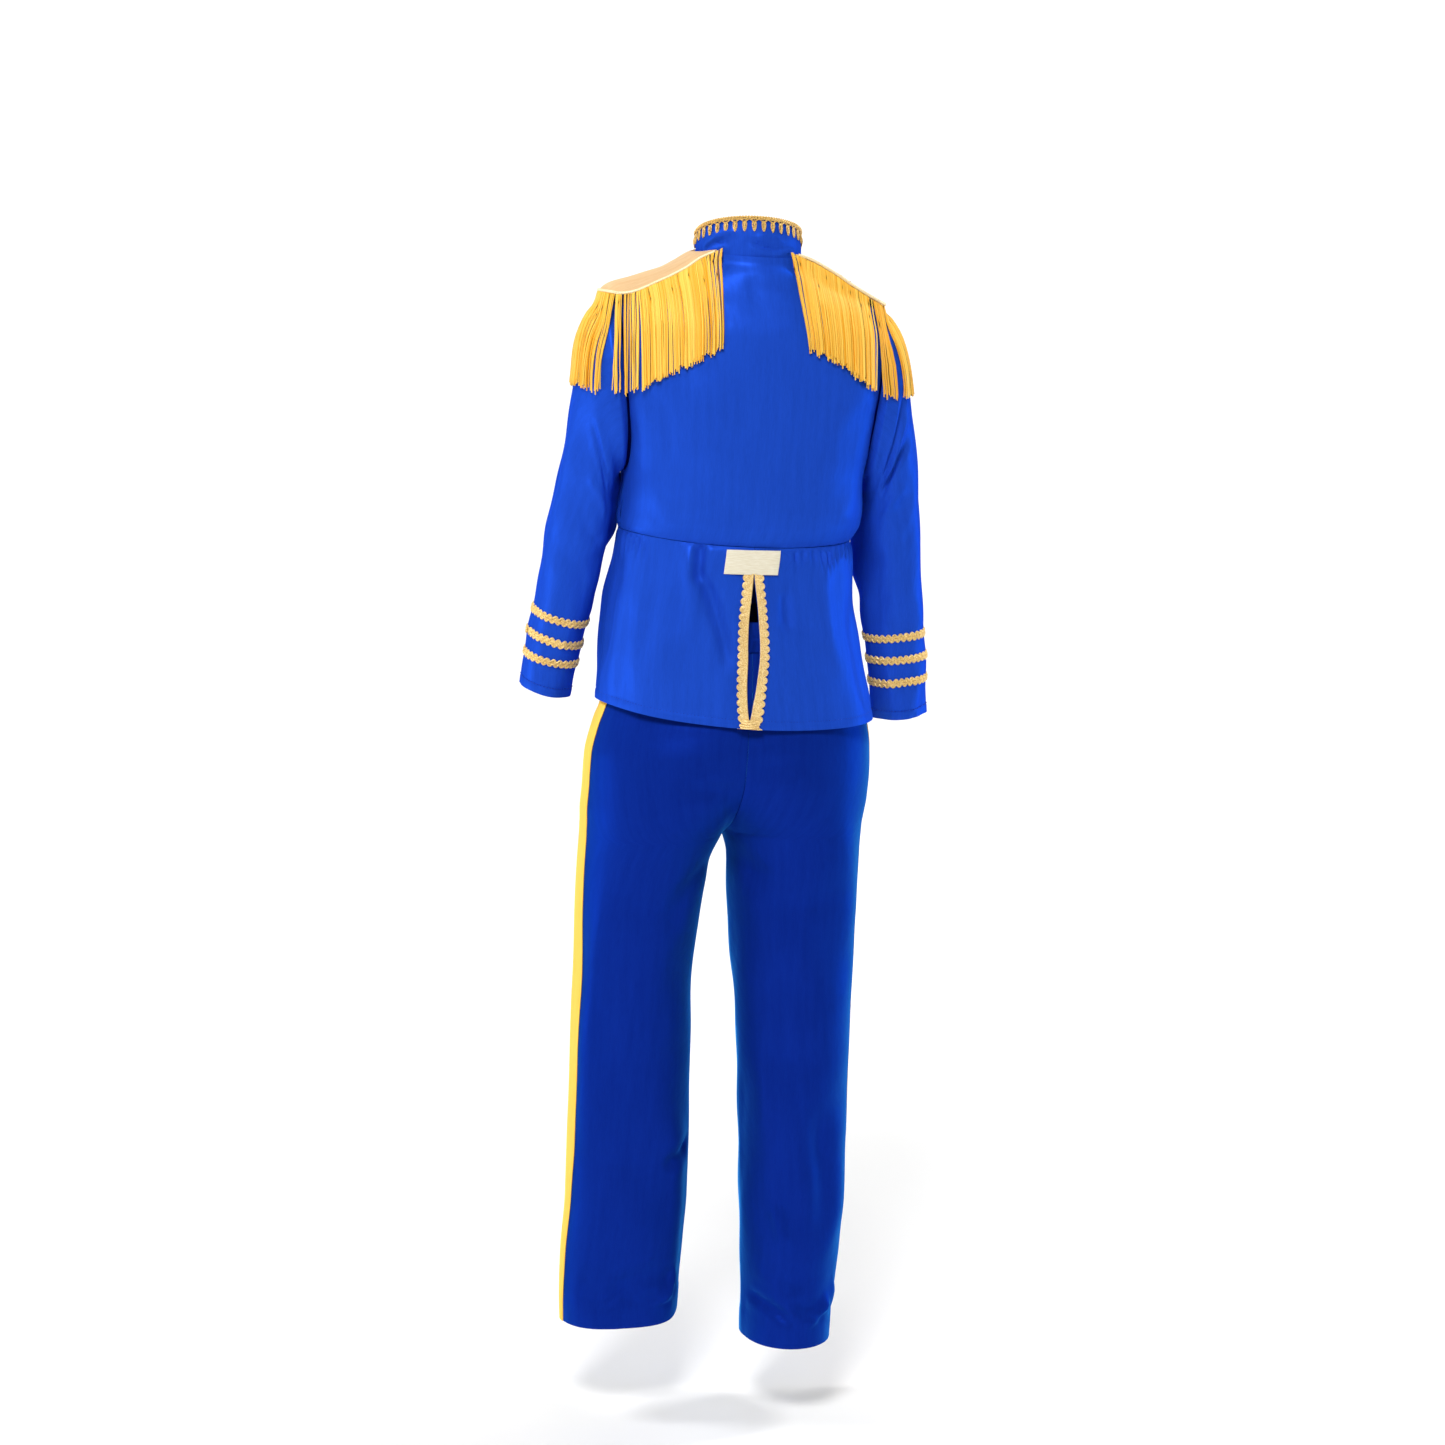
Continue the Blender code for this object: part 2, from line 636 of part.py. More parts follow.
PLAIN_RINGS = 9
LAST_RING = 12.0
sleeve_grids = []
for word, table, side in (("left", SLEEVE_LEFT, 1), ("right", SLEEVE_RIGHT, -1)):
    surface, middle = make_sleeve(table, side)
    half_wide = CUFF_BRAID["wide"] / 2
    bands = [(ring_for(table, k, -half_wide), ring_for(table, k, half_wide)) for k in CUFF_BRAID["rings"]]
    rings = [float(k) for k in range(PLAIN_RINGS)] + [ring for band in bands for ring in band] + [LAST_RING]
    cells = [[(ring, turn) for turn in sleeve_turns()] for ring in rings]
    grid = shell("sleeve_" + word, surface, middle, cells, BLUE, wrap=True, steps=(0.03, 1.0))
    sleeve_grids.append((grid, rings, middle))
    for number, band in enumerate(bands, 1):
        cuff_braid("cuff_braid_%s_%d" % (word, number), surface, middle, band)


# Trousers. Above the crotch both legs share the hips; "off" is how far a leg's ring is off the middle.
HIPS = section(("z", "mid_x", "mid_y", "half", "off", "back", "front"), [
    (-575.0, 25.5, -10, 143.5, 71.75, 86.5, 79.5),
    (-570.0, 25.2, -10, 143.6, 69.8, 87.5, 80),
    (-560.0, 24.2, -9, 144.2, 65.2, 89.5, 81.5),
    (-544.0, 22.5, -9, 145.5, 57.0, 93, 84),
    (-520.0, 20.1, -9, 145.6, 42.3, 96, 86),
    (-493.0, 19.0, -9, 144.5, 25.2, 96.5, 87),
    (-465.0, 17.0, -9, 139.0, 11.0, 92.5, 86),
    (-441.0, 14.5, -9, 132.0, 4.0, 88, 83.5),
    (-420.0, 13.5, -9, 126.0, 0.5, 84.5, 81.5),
    (-400.0, 13.0, -9, 119.0, 0.0, 82, 79),
    (-387.0, 13.0, -9, 112.0, 0.0, 79, 77),
])
LEG_LEFT = section(("z", "mid_x", "mid_y", "half", "back", "front"), [
    (-575.0, 97.25, -10, 71.75, 86.5, 79.5),
    (-600.0, 104.5, -12, 66.5, 80.5, 75),
    (-650.0, 111.0, -14, 63.0, 71, 68),
    (-700.0, 114.5, -16, 61.5, 65, 63),
    (-750.0, 117.0, -18, 61.0, 62, 60),
    (-850.0, 119.5, -20, 61.5, 58, 56),
    (-950.0, 121.5, -22, 62.5, 54, 53),
    (-1000.0, 125.5, -23, 62.5, 52, 51),
    (-1050.0, 128.5, -24, 61.5, 51, 50),
    (-1080.0, 129.5, -25, 60.0, 50, 49),
])
LEG_RIGHT = section(("z", "mid_x", "mid_y", "half", "back", "front"), [
    (-575.0, -46.25, -10, 71.75, 86.5, 79.5),
    (-600.0, -48.0, -8, 68.0, 80.5, 75),
    (-650.0, -46.4, -4, 66.0, 72, 70),
    (-700.0, -46.2, 0, 63.0, 67, 66),
    (-750.0, -46.2, 3, 59.8, 65, 64),
    (-850.0, -45.5, 7, 55.5, 63, 62),
    (-950.0, -43.5, 10, 53.5, 62, 61),
    (-1000.0, -41.8, 11, 51.0, 63, 62),
    (-1050.0, -38.5, 12, 47.5, 63, 62),
    (-1096.0, -36.0, 13, 44.5, 64, 62),
])
CROTCH = -575.0
# Turn of the side seams, which run under the middle of the stripes; 90 is straight out to the side.
SIDE_SEAM = section(("z", "left", "right"), [
    (-1096.0, 94.0, 99.0), (-1050.0, 92.0, 98.0), (-950.0, 86.0, 96.0), (-850.0, 80.0, 95.0),
    (-750.0, 78.0, 95.0), (-600.0, 81.0, 94.0), (-520.0, 84.0, 93.0), (-387.0, 87.0, 91.0)])
LEG_FOLDS = [
    {"z": -640.0, "turn": 5.0, "wide": 34.0, "long": 16.0, "deep": 2.6, "lean": 18.0},
    {"z": -800.0, "turn": -20.0, "wide": 36.0, "long": 20.0, "deep": 2.4, "lean": -14.0},
    {"z": -905.0, "turn": 25.0, "wide": 34.0, "long": 18.0, "deep": 2.2, "lean": 16.0},
    {"z": -1030.0, "turn": -5.0, "wide": 40.0, "long": 14.0, "deep": 2.6, "lean": 10.0},
    {"z": -690.0, "turn": 190.0, "wide": 40.0, "long": 20.0, "deep": 2.4, "lean": 14.0},
    {"z": -980.0, "turn": 170.0, "wide": 40.0, "long": 18.0, "deep": 2.6, "lean": -12.0},
]


def make_leg(table, side):
    def values(z):
        if z > CROTCH:
            s = HIPS(z)
            return (s["mid_x"] + side * s["off"], s["mid_y"], s["half"] - s["off"], s["back"], s["front"])
        s = table(z)
        return s["mid_x"], s["mid_y"], s["half"], s["back"], s["front"]

    def surface(z, turn):
        mid_x, mid_y, half, back, front = values(z)
        c, q = math.cos(math.radians(turn)), math.sin(math.radians(turn))
        fold = folds(LEG_FOLDS, "z", z, (turn + 90.0) % 360.0 - 90.0) if z < CROTCH else 0.0
        x = mid_x + side * (half + fold) * q
        y = mid_y + ((back if c > 0 else front) + fold) * c
        return np.array((x, y, z))

    def middle(z):
        mid_x, mid_y, half, back, front = values(z)
        return np.array((mid_x, mid_y, z))

    def inner_turn(z):
        if z <= CROTCH:
            return -90.0
        s = HIPS(z)
        share = s["off"] / (s["half"] - s["off"])
        return -math.degrees(math.asin(min(share, 1.0)))
    return surface, middle, inner_turn


leg_rows = [-387.3, -405.0, -424.0, -443.0, -466.0, -493.0, -520.0, -544.0, -562.0, -575.0,
            -592.0, -620.0, -665.0, -730.0, -800.0, -870.0, -940.0, -1000.0, -1050.0]
LEG_SPANS = 8
STRIPE_SEWN = {"wide": 22.0, "wall": 1.0, "off": 0.9, "top": -389.0}
for word, table, side, hem in (("left", LEG_LEFT, 1, -1080.0), ("right", LEG_RIGHT, -1, -1096.0)):
    surface, middle, inner_turn = make_leg(table, side)
    for place in ("back", "front"):
        cells = []
        for z in leg_rows + [hem]:
            seam = SIDE_SEAM(z)[word]
            last = inner_turn(z)
            if place == "front":
                last = -180.0 - last + 360.0
            inward = 1.0 if last > seam else -1.0
            first = seam + inward * turn_for(surface, z, seam, SEAM)
            last = last - inward * turn_for(surface, z, last, SEAM)
            cells.append([(z, first + (last - first) * i / LEG_SPANS) for i in range(LEG_SPANS + 1)])
        shell("trouser_%s_%s" % (place, word), surface, middle, cells, NAVY, steps=(1.0, 0.5))

    # The side stripe, sewn over the side seam from the waistband to the hem.
    cells = []
    for z in leg_rows + [hem]:
        z = min(z, STRIPE_SEWN["top"])
        seam = SIDE_SEAM(z)[word]
        reach = turn_for(surface, z, seam, STRIPE_SEWN["wide"] / 2)
        cells.append([(z, seam + reach * k) for k in (-1.0, 0.0, 1.0)])
    shell("side_stripe_" + word, surface, middle, cells, STRIPE, wall=STRIPE_SEWN["wall"],
          lift=STRIPE_SEWN["off"] + STRIPE_SEWN["wall"], steps=(1.0, 0.5))

# Elastic casing of the trousers, a tube above the hips.
WAISTBAND = {"top": -357.0, "bottom": -386.7, "half": 112.0, "back": 79.0, "front": 77.0, "wall": 2.2,
             "swell": 1.2}
CASING_SPANS = 24


def casing(z, turn):
    s = HIPS(z)
    c, q = math.cos(math.radians(turn)), math.sin(math.radians(turn))
    share = (z - WAISTBAND["bottom"]) / (WAISTBAND["top"] - WAISTBAND["bottom"])
    swell = WAISTBAND["swell"] * math.sin(math.pi * share)
    x = s["mid_x"] + (WAISTBAND["half"] + swell) * q
    y = s["mid_y"] + ((WAISTBAND["back"] if c > 0 else WAISTBAND["front"]) + swell) * c
    return np.array((x, y, z))


def casing_middle(z):
    return np.array((HIPS(z)["mid_x"], HIPS(z)["mid_y"], z))


casing_rows = [WAISTBAND["top"], 0.5 * (WAISTBAND["top"] + WAISTBAND["bottom"]), WAISTBAND["bottom"]]
shell("trouser_waistband", casing, casing_middle,
      [[(z, 360.0 * i / CASING_SPANS) for i in range(CASING_SPANS)] for z in casing_rows], NAVY,
      wall=WAISTBAND["wall"], wrap=True, steps=(1.0, 0.5))


# Epaulettes: a padded board that bridges the shoulder, a cord round its edge, and a fringe below it.
BOARD_LEFT = section(("x", "high", "arch"), [
    (38.0, 6.3, 2.6),
    (55.0, 1.5, 4.8),
    (70.0, -6.5, 6.5),
    (95.0, -17.0, 8.0),
    (118.0, -23.5, 11.0),
    (134.0, -27.5, 12.0),
    (142.0, -31.5, 10.0),
    (148.0, -37.0, 6.0),
])
BOARD_RIGHT = section(("x", "high", "arch"), [
    (38.0, 0.5, 1.5),
    (55.0, -5.5, 1.5),
    (70.0, -13.5, 1.5),
    (84.0, -22.0, 1.5),
    (94.0, -28.5, 2.0),
    (107.0, -36.5, 2.0),
    (120.0, -45.0, 1.5),
    (134.0, -53.0, 1.0),
])
BOARD_END = {"left": 146.0, "right": 133.0}
BOARD_HALF = 38.0
BOARD_BACK = 0.5
BOARD_WALL = 2.6
BOARD_SPANS = 8
BOARD_ROWS = (0.0, 0.2, 0.42, 0.62, 0.8, 0.93, 1.0)
CORD = 1.5
CORD_RINGS = 31
# The fringe: length, number of locks, stretches in a lock, and how far it stands off the cloth.
FRINGE_LONG = {"left": 91.0, "right": 87.0}
LOCKS = 40
LOCK_NODES = 3
CLEAR = 3.0
STRIP = {"deep": 3.0, "flare": 0.4, "top_half": 0.6, "low_half": 0.7, "clear": 1.6, "look": 3.2}
LOCK_WIDE = (0.72, 0.70, 0.66, 0.58)
LOCK_THICK = (0.7, 1.0, 1.0, 0.7)


def make_board(word, side):
    end = BOARD_END[word]
    table = BOARD_LEFT if side > 0 else BOARD_RIGHT

    def surface(along, across):
        """along 0 to 1 from the collar to the end, across -1 (front) to 1 (back)."""
        spread = min(abs(across), 1.0)
        inner = 57.5 - 18.2 * spread ** 2.2
        outer = end - 30.0 * (1.0 - max(1.0 - spread ** 2.7, 0.0) ** (1 / 2.7))
        x = inner + (outer - inner) * along
        s = table(x)
        return np.array((side * x, across * BOARD_HALF - BOARD_BACK, s["high"] - s["arch"] * spread ** 2))

    def middle(along):
        return surface(along, 0.0) - np.array((0.0, 0.0, 60.0))
    return surface, middle


def board_outline(surface, count):
    """Points along the board's free edge: back edge, round end, front edge."""
    walk = [(0.03 + 0.97 * i / 24, 1.0) for i in range(25)]
    walk += [(1.0, math.cos(math.pi * i / 36)) for i in range(1, 36)]
    walk += [(1.0 - 0.97 * i / 24, -1.0) for i in range(25)]
    points = [surface(a, b) for a, b in walk]
    lengths = [0.0]
    for p, q in zip(points, points[1:]):
        lengths.append(lengths[-1] + float(np.linalg.norm(q - p)))
    out = []
    for i in range(count):
        target = lengths[-1] * i / (count - 1)
        k = min(max(int(np.searchsorted(lengths, target)), 1), len(points) - 1)
        t = (target - lengths[k - 1]) / max(lengths[k] - lengths[k - 1], 1e-9)
        out.append(points[k - 1] * (1 - t) + points[k] * t)
    return out


def outline_outward(points):
    """Level direction out of the board at each point of its outline."""
    out = []
    for i in range(len(points)):
        a = points[max(i - 1, 0)]
        b = points[min(i + 1, len(points) - 1)]
        along = unit((b - a) * np.array((1.0, 1.0, 0.0)))
        out.append(np.array((along[1], -along[0], 0.0)))
    middle = sum(points) / len(points)
    if sum(float(np.dot(o, p - middle)) for o, p in zip(out, points)) < 0:
        out = [-o for o in out]
    return out


def board_solid(word, surface, middle):
    outer, inner = [], []
    for along in BOARD_ROWS:
        out_line, in_line = [], []
        for j in range(BOARD_SPANS + 1):
            across = 2.0 * j / BOARD_SPANS - 1.0
            point = surface(along, across)
            normal = normal_at(surface, middle, min(along, 0.96), max(min(across, 0.9), -0.9), 0.03, 0.06)
            out_line.append(point)
            in_line.append(point - normal * BOARD_WALL)
        outer.append(out_line)
        inner.append(in_line)
    wall_between("epaulette_board_" + word, outer, inner, TAN)


def tube_faces(sections, size):
    """Faces of a closed bar through rings of the same number of points."""
    faces = []
    for r in range(sections - 1):
        for c in range(size):
            d = (c + 1) % size
            a, b = r * size + c, r * size + d
            faces += [(a, b, b + size), (a, b + size, a + size)]
    last = (sections - 1) * size
    for c in range(1, size - 1):
        faces.append((0, c + 1, c))
        faces.append((last, last + c, last + c + 1))
    return faces


def cord_solid(word, surface):
    rim = board_outline(surface, CORD_RINGS)
    up = np.array((0.0, 0.0, 1.0))
    points = []
    for p, o in zip(rim, outline_outward(rim)):
        centre = p + o * (CORD + 0.5) - up * BOARD_WALL / 2
        points += [centre + up * CORD, centre + o * CORD, centre - up * CORD, centre - o * CORD]
    add_mesh("epaulette_cord_" + word, points, tube_faces(len(rim), 4), GOLD)


def over_cloth(tree, point):
    """Height of a point over the cloth, and the way out of the cloth there."""
    spot, normal, _, _ = tree.find_nearest(Vector(point))
    normal = np.array(normal)
    return float(np.dot(point - np.array(spot), normal)), normal


def hang(root, outward, length, tree):
    """Path of a lock that leaves the edge, falls, and slides over what lies under it."""
    steps = 12
    step = length / steps
    down = np.array((0.0, 0.0, -1.0))
    path = [root]
    for i in range(steps):
        push = outward * (0.30 * math.exp(-i / 3.0) + 0.05)
        guess = path[-1] + unit(down + push) * step
        off, normal = over_cloth(tree, guess)
        if off < CLEAR:
            guess = guess + normal * (CLEAR - off)
            guess = path[-1] + unit(guess - path[-1]) * step
        path.append(guess)
    return lift_clear([path[round(steps * k / LOCK_NODES)] for k in range(LOCK_NODES + 1)], tree, 16)


def lift_clear(nodes, tree, rounds):
    """Moves the nodes of a lock outwards until its straight stretches clear the cloth."""
    nodes = list(nodes)
    for _ in range(rounds):
        for k in range(len(nodes) - 1):
            for share in (0.25, 0.5, 0.75, 1.0):
                off, normal = over_cloth(tree, nodes[k] * (1 - share) + nodes[k + 1] * share)
                if off < CLEAR - 0.3:
                    push = normal * (CLEAR - off) * 0.6
                    nodes[k + 1] = nodes[k + 1] + push
                    if k > 0:
                        nodes[k] = nodes[k] + push
    return nodes


def even_out(paths, tree):
    """Spreads neighbouring locks evenly, then lifts them clear of the cloth again."""
    for _ in range(4):
        eased = [list(path) for path in paths]
        for k in range(1, len(paths) - 1):
            for level in range(1, len(paths[k])):
                beside = paths[k - 1][level] + paths[k + 1][level]
                eased[k][level] = 0.5 * paths[k][level] + 0.25 * beside
        paths = [lift_clear(path, tree, 3) for path in eased]
    return paths


def strip_stations(surface, tree):
    """Top, lower edge and outward direction of the strip that all the locks grow from."""
    stations = board_outline(surface, 2 * LOCKS)
    strip = []
    for p, o in zip(stations, outline_outward(stations)):
        top = p + o * (CORD + 0.7) - np.array((0.0, 0.0, BOARD_WALL / 2 + CORD + 0.45))
        off, normal = over_cloth(tree, top - np.array((0.0, 0.0, STRIP["look"])))
        if off < STRIP["clear"]:
            top = top + (o * 0.5 + normal) * (STRIP["clear"] - off)
        strip.append((top, top - np.array((0.0, 0.0, STRIP["deep"])) + o * STRIP["flare"], o))
    return strip


def lock_paths(word, strip, tree):
    paths = []
    for k in range(LOCKS):
        (_, low_a, out_a), (_, low_b, out_b) = strip[2 * k], strip[2 * k + 1]
        share = k / (LOCKS - 1)
        length = FRINGE_LONG[word] + 8.0 * abs(2 * share - 1.0) ** 1.5
        length += 2.2 * math.sin(2.4 * k) + 1.3 * math.sin(5.1 * k + 1)
        paths.append(hang(0.5 * (low_a + low_b), unit(out_a + out_b), length, tree))
    return even_out(paths, tree)


def lock_rings(paths, k, outward):
    """The four-cornered rings of one lock, as wide as the room that its neighbours leave."""
    rings = []
    for level in range(1, LOCK_NODES + 1):
        here = paths[k][level]
        reach = paths[min(k + 1, LOCKS - 1)][level] - paths[max(k - 1, 0)][level]
        spans = 1 if k in (0, LOCKS - 1) else 2
        fall = unit(here - paths[k][level - 1])
        reach = reach - fall * float(np.dot(reach, fall))
        across = unit(reach)
        face_out = unit(np.cross(fall, across))
        if float(np.dot(face_out, outward)) < 0:
            face_out = -face_out
        side = across * (0.5 * float(np.linalg.norm(reach)) / spans * LOCK_WIDE[level])
        thick = face_out * LOCK_THICK[level]
        rings.append((here - side + thick, here + side + thick, here + side - thick, here - side - thick))
    return rings


def fringe_solid(word, surface, tree):
    """One narrow strip under the cord, with every lock growing out of its lower face."""
    strip = strip_stations(surface, tree)
    paths = lock_paths(word, strip, tree)
    points, faces = [], []
    for top, low, o in strip:
        top_half, low_half = o * STRIP["top_half"], o * STRIP["low_half"]
        points += [top + top_half, top - top_half, low - low_half, low + low_half]

    def quad(a, b, c, d):
        faces.append((a, b, c))
        faces.append((a, c, d))

    for i in range(2 * LOCKS - 1):
        a, b = 4 * i, 4 * (i + 1)
        quad(a, b, b + 1, a + 1)
        quad(a + 1, b + 1, b + 2, a + 2)
        quad(a + 3, b + 3, b, a)
        if i % 2:
            quad(a + 2, b + 2, b + 3, a + 3)
            continue
        ring = (a + 3, b + 3, b + 2, a + 2)
        for corners in lock_rings(paths, i // 2, strip[i][2]):
            fresh = tuple(range(len(points), len(points) + 4))
            points += corners
            for c in range(4):
                d = (c + 1) % 4
                quad(ring[d], ring[c], fresh[c], fresh[d])
            ring = fresh
        quad(ring[0], ring[3], ring[2], ring[1])
    end = 4 * (2 * LOCKS - 1)
    quad(0, 1, 2, 3)
    quad(end, end + 3, end + 2, end + 1)
    add_mesh("epaulette_fringe_" + word, points, faces, YELLOW)


body_inside = np.array((0.0, 0.0, -150.0))
under = [(back_grid, body_inside), (left_grid, body_inside), (right_grid, body_inside)]
for grid, rings, middle in sleeve_grids:
    closed = [line + line[:1] for line in grid]
    for k in range(PLAIN_RINGS):
        under.append((closed[k:k + 2], 0.5 * (middle(rings[k]) + middle(rings[k + 1]))))
under_tree = skin_tree(under)

for word, side in (("left", 1), ("right", -1)):
    surface, middle = make_board(word, side)
    board_solid(word, surface, middle)
    cord_solid(word, surface)
    fringe_solid(word, surface, under_tree)
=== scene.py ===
"""Parade drummer costume for a child, seen from behind: royal-blue satin, gold gimp and rayon fringe.

Tables are in millimetres, as on a cutting table; what they make is placed in metres in the frame.
The wearer's left is +X, the front faces -Y, and +Z is up.
"""
import math
from functools import partial

import bpy
import numpy as np
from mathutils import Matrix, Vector
from mathutils.bvhtree import BVHTree


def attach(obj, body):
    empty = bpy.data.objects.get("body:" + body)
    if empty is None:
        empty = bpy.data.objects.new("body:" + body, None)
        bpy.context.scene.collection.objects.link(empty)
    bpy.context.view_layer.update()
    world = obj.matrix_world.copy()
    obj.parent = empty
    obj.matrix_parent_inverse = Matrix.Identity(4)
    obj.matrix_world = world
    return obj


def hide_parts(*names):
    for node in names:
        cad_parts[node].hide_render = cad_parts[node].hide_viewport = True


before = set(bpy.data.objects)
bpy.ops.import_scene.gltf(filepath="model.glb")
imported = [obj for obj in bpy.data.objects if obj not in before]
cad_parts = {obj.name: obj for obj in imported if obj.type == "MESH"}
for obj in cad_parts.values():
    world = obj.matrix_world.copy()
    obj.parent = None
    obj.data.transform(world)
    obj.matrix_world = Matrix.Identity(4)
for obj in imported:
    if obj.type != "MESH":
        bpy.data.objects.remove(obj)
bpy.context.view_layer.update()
MM = 0.001


# Jacket satin. Polyester satin of about 120 g/m2, woven with long warp floats that run down the body,
# so it is smooth and glows softly rather than shines. The colour deepens where it turns from the light.
def sheet_colour(code):
    """Linear colour of an sRGB hex code such as "#1c49ca"."""
    parts = [int(code[i:i + 2], 16) / 255 for i in (1, 3, 5)]
    return tuple(v / 12.92 if v <= 0.04045 else ((v + 0.055) / 1.055) ** 2.4 for v in parts) + (1.0,)


def add_node(tree, kind, inputs=(), **settings):
    """Adds a shader node, sets it up, and fills its sockets with values or other nodes' outputs."""
    node = tree.nodes.new("ShaderNode" + kind)
    for key, value in settings.items():
        setattr(node, key, value)
    for key, value in dict(inputs).items():
        if isinstance(value, bpy.types.NodeSocket):
            tree.links.new(value, node.inputs[key])
        else:
            node.inputs[key].default_value = value
    return node


def start_material(name):
    """A new material with its node tree and its surface shader."""
    material = bpy.data.materials.new(name)
    material.use_nodes = True
    return material, material.node_tree, material.node_tree.nodes["Principled BSDF"]


def colour_ramp(tree, value, first, last):
    """Ramp between two colours, each given as a position and an sRGB code."""
    ramp = add_node(tree, "ValToRGB", {"Fac": value})
    for element, (position, code) in zip(ramp.color_ramp.elements, (first, last)):
        element.position = position
        element.color = sheet_colour(code)
    return ramp


def drawn_noise(tree, cloth, often):
    """Noise drawn out along the cloth's own map, by how often it changes in a metre each way."""
    space = add_node(tree, "Mapping", {"Vector": cloth.outputs["UV"], "Scale": often})
    return add_node(tree, "TexNoise", {"Vector": space.outputs["Vector"], "Scale": 1.0, "Detail": 2.0})


def wire_up(tree, shader, tone, bump):
    """Gives the surface shader its colour and its fine relief."""
    tree.links.new(tone.outputs["Color"], shader.inputs["Base Color"])
    tree.links.new(bump.outputs["Normal"], shader.inputs["Normal"])


def woven_satin(name, light, deep, glow, roughness, shine, sheen=0.5):
    """Satin whose floats and slubs run down the cloth: the v of its own map is the warp, in metres."""
    material, tree, shader = start_material(name)
    cloth = add_node(tree, "UVMap", uv_map="cloth")
    # A float is 0.15 mm by 2 mm; it is drawn 0.8 mm by 9 mm, which is as fine as the picture shows.
    grain = drawn_noise(tree, cloth, (1250.0, 110.0, 1.0))
    # Slubs are thicker warp threads, some 6 mm apart and 60 mm long, and hardly darker than the rest.
    streak = drawn_noise(tree, cloth, (160.0, 16.0, 1.0))
    both = add_node(tree, "Math", {0: grain.outputs["Fac"], 1: streak.outputs["Fac"]}, operation="ADD")
    half = add_node(tree, "Math", {0: both.outputs["Value"], 1: 0.5}, operation="MULTIPLY")
    tone = colour_ramp(tree, half.outputs["Value"], (0.3, deep), (0.7, light))
    # Limp cloth is never quite flat: shallow dimples some 12 mm wide break up its glow.
    dimples = add_node(tree, "TexNoise", {"Vector": cloth.outputs["UV"], "Scale": 70.0, "Detail": 2.0})
    swell = add_node(tree, "Bump", {"Height": dimples.outputs["Fac"], "Strength": 0.10, "Distance": 0.004})
    bump = add_node(tree, "Bump", {"Height": grain.outputs["Fac"], "Strength": 0.10, "Distance": 0.0002,
                                   "Normal": swell.outputs["Normal"]})
    wire_up(tree, shader, tone, bump)
    shader.inputs["Roughness"].default_value = roughness
    # The metallic share colours the glow of the floats like the cloth itself.
    shader.inputs["Metallic"].default_value = shine
    # Its gloss has the colour of the dye, also where it turns away.
    shader.inputs["Specular IOR Level"].default_value = 0.0
    shader.inputs["Specular Tint"].default_value = sheet_colour(glow)
    shader.inputs["Sheen Weight"].default_value = sheen
    shader.inputs["Sheen Roughness"].default_value = 0.35
    shader.inputs["Sheen Tint"].default_value = sheet_colour(glow)
    return material


jacket_satin = woven_satin("royal_blue_satin", "#204fca", "#1c47ba", "#2062e6", 0.43, 0.2, 0.28)


# Back of the bodice. One piece of satin from shoulder to shoulder, set in round both armholes and
# bloused a little over the waist seam, with soft drag lines from the armholes.
def section(names, rows):
    """Smooth reading of a short table: the first column goes in, the others come out by name."""
    table = np.array(sorted(rows), dtype=float)
    keys = table[:, 0]
    values = table[:, 1:]
    steps = np.diff(keys)
    rates = np.diff(values, axis=0) / steps[:, None]
    slopes = np.zeros_like(values)
    slopes[0] = rates[0]
    slopes[-1] = rates[-1]
    same = rates[:-1] * rates[1:] > 0
    total = np.where(same, rates[:-1] + rates[1:], 1.0)
    slopes[1:-1] = np.where(same, 2 * rates[:-1] * rates[1:] / total, 0.0)

    def at(key):
        key = np.clip(np.asarray(key, dtype=float), keys[0], keys[-1])
        i = np.clip(np.searchsorted(keys, key) - 1, 0, len(steps) - 1)
        h = steps[i][..., None]
        t = (key - keys[i])[..., None] / h
        value = ((1 + 2 * t) * (1 - t) ** 2 * values[i] + t * (1 - t) ** 2 * h * slopes[i]
                 + t * t * (3 - 2 * t) * values[i + 1] + t * t * (t - 1) * h * slopes[i + 1])
        return {name: value[..., k] for k, name in enumerate(names[1:])}
    return at


def ease(low, high, value):
    """Smooth step from 0 at low to 1 at high."""
    t = np.clip((value - low) / (high - low), 0.0, 1.0)
    return t * t * (3 - 2 * t)


def bend(value, power):
    """Power that keeps the sign: it squares off a ring or rounds it."""
    return np.sign(value) * np.abs(value) ** power


def grid_normals(points, inside, wrap=False):
    """Outward normals of a grid of points round an inside point."""
    if wrap:
        across = np.roll(points, -1, axis=1) - np.roll(points, 1, axis=1)
    else:
        across = np.gradient(points, axis=1)
    normals = np.cross(np.gradient(points, axis=0), across)
    normals /= np.maximum(np.linalg.norm(normals, axis=-1, keepdims=True), 1e-9)
    if np.sum(normals * (points - inside)) < 0:
        normals = -normals
    return normals


# A fold is a ridge or trough with a lower one of the opposite sense along both sides.
FOLD = {"gain": 1.6, "beside": 0.38, "spread": 2.3}


def creases(a, b, rows):
    """Height of soft troughs and ridges, each a bowed line from one place on the cloth to another."""
    rise = np.zeros(np.broadcast(a, b).shape)
    for from_a, from_b, to_a, to_b, bow, wide, high in rows:
        long = math.hypot(to_a - from_a, to_b - from_b)
        way = ((to_a - from_a) / long, (to_b - from_b) / long)
        along = ((a - from_a) * way[0] + (b - from_b) * way[1]) / long
        off = (a - from_a) * -way[1] + (b - from_b) * way[0] - bow * 4 * along * (1 - along)
        ends = ease(-0.12, 0.22, along) * (1 - ease(0.78, 1.12, along))
        d = off / wide
        beside = FOLD["beside"] * np.exp(-(d / FOLD["spread"]) ** 2)
        rise = rise + FOLD["gain"] * high * ends * (np.exp(-d * d) - beside)
    return rise


SEAM_DIP = {"deep": 1.5, "wide": 2.6}


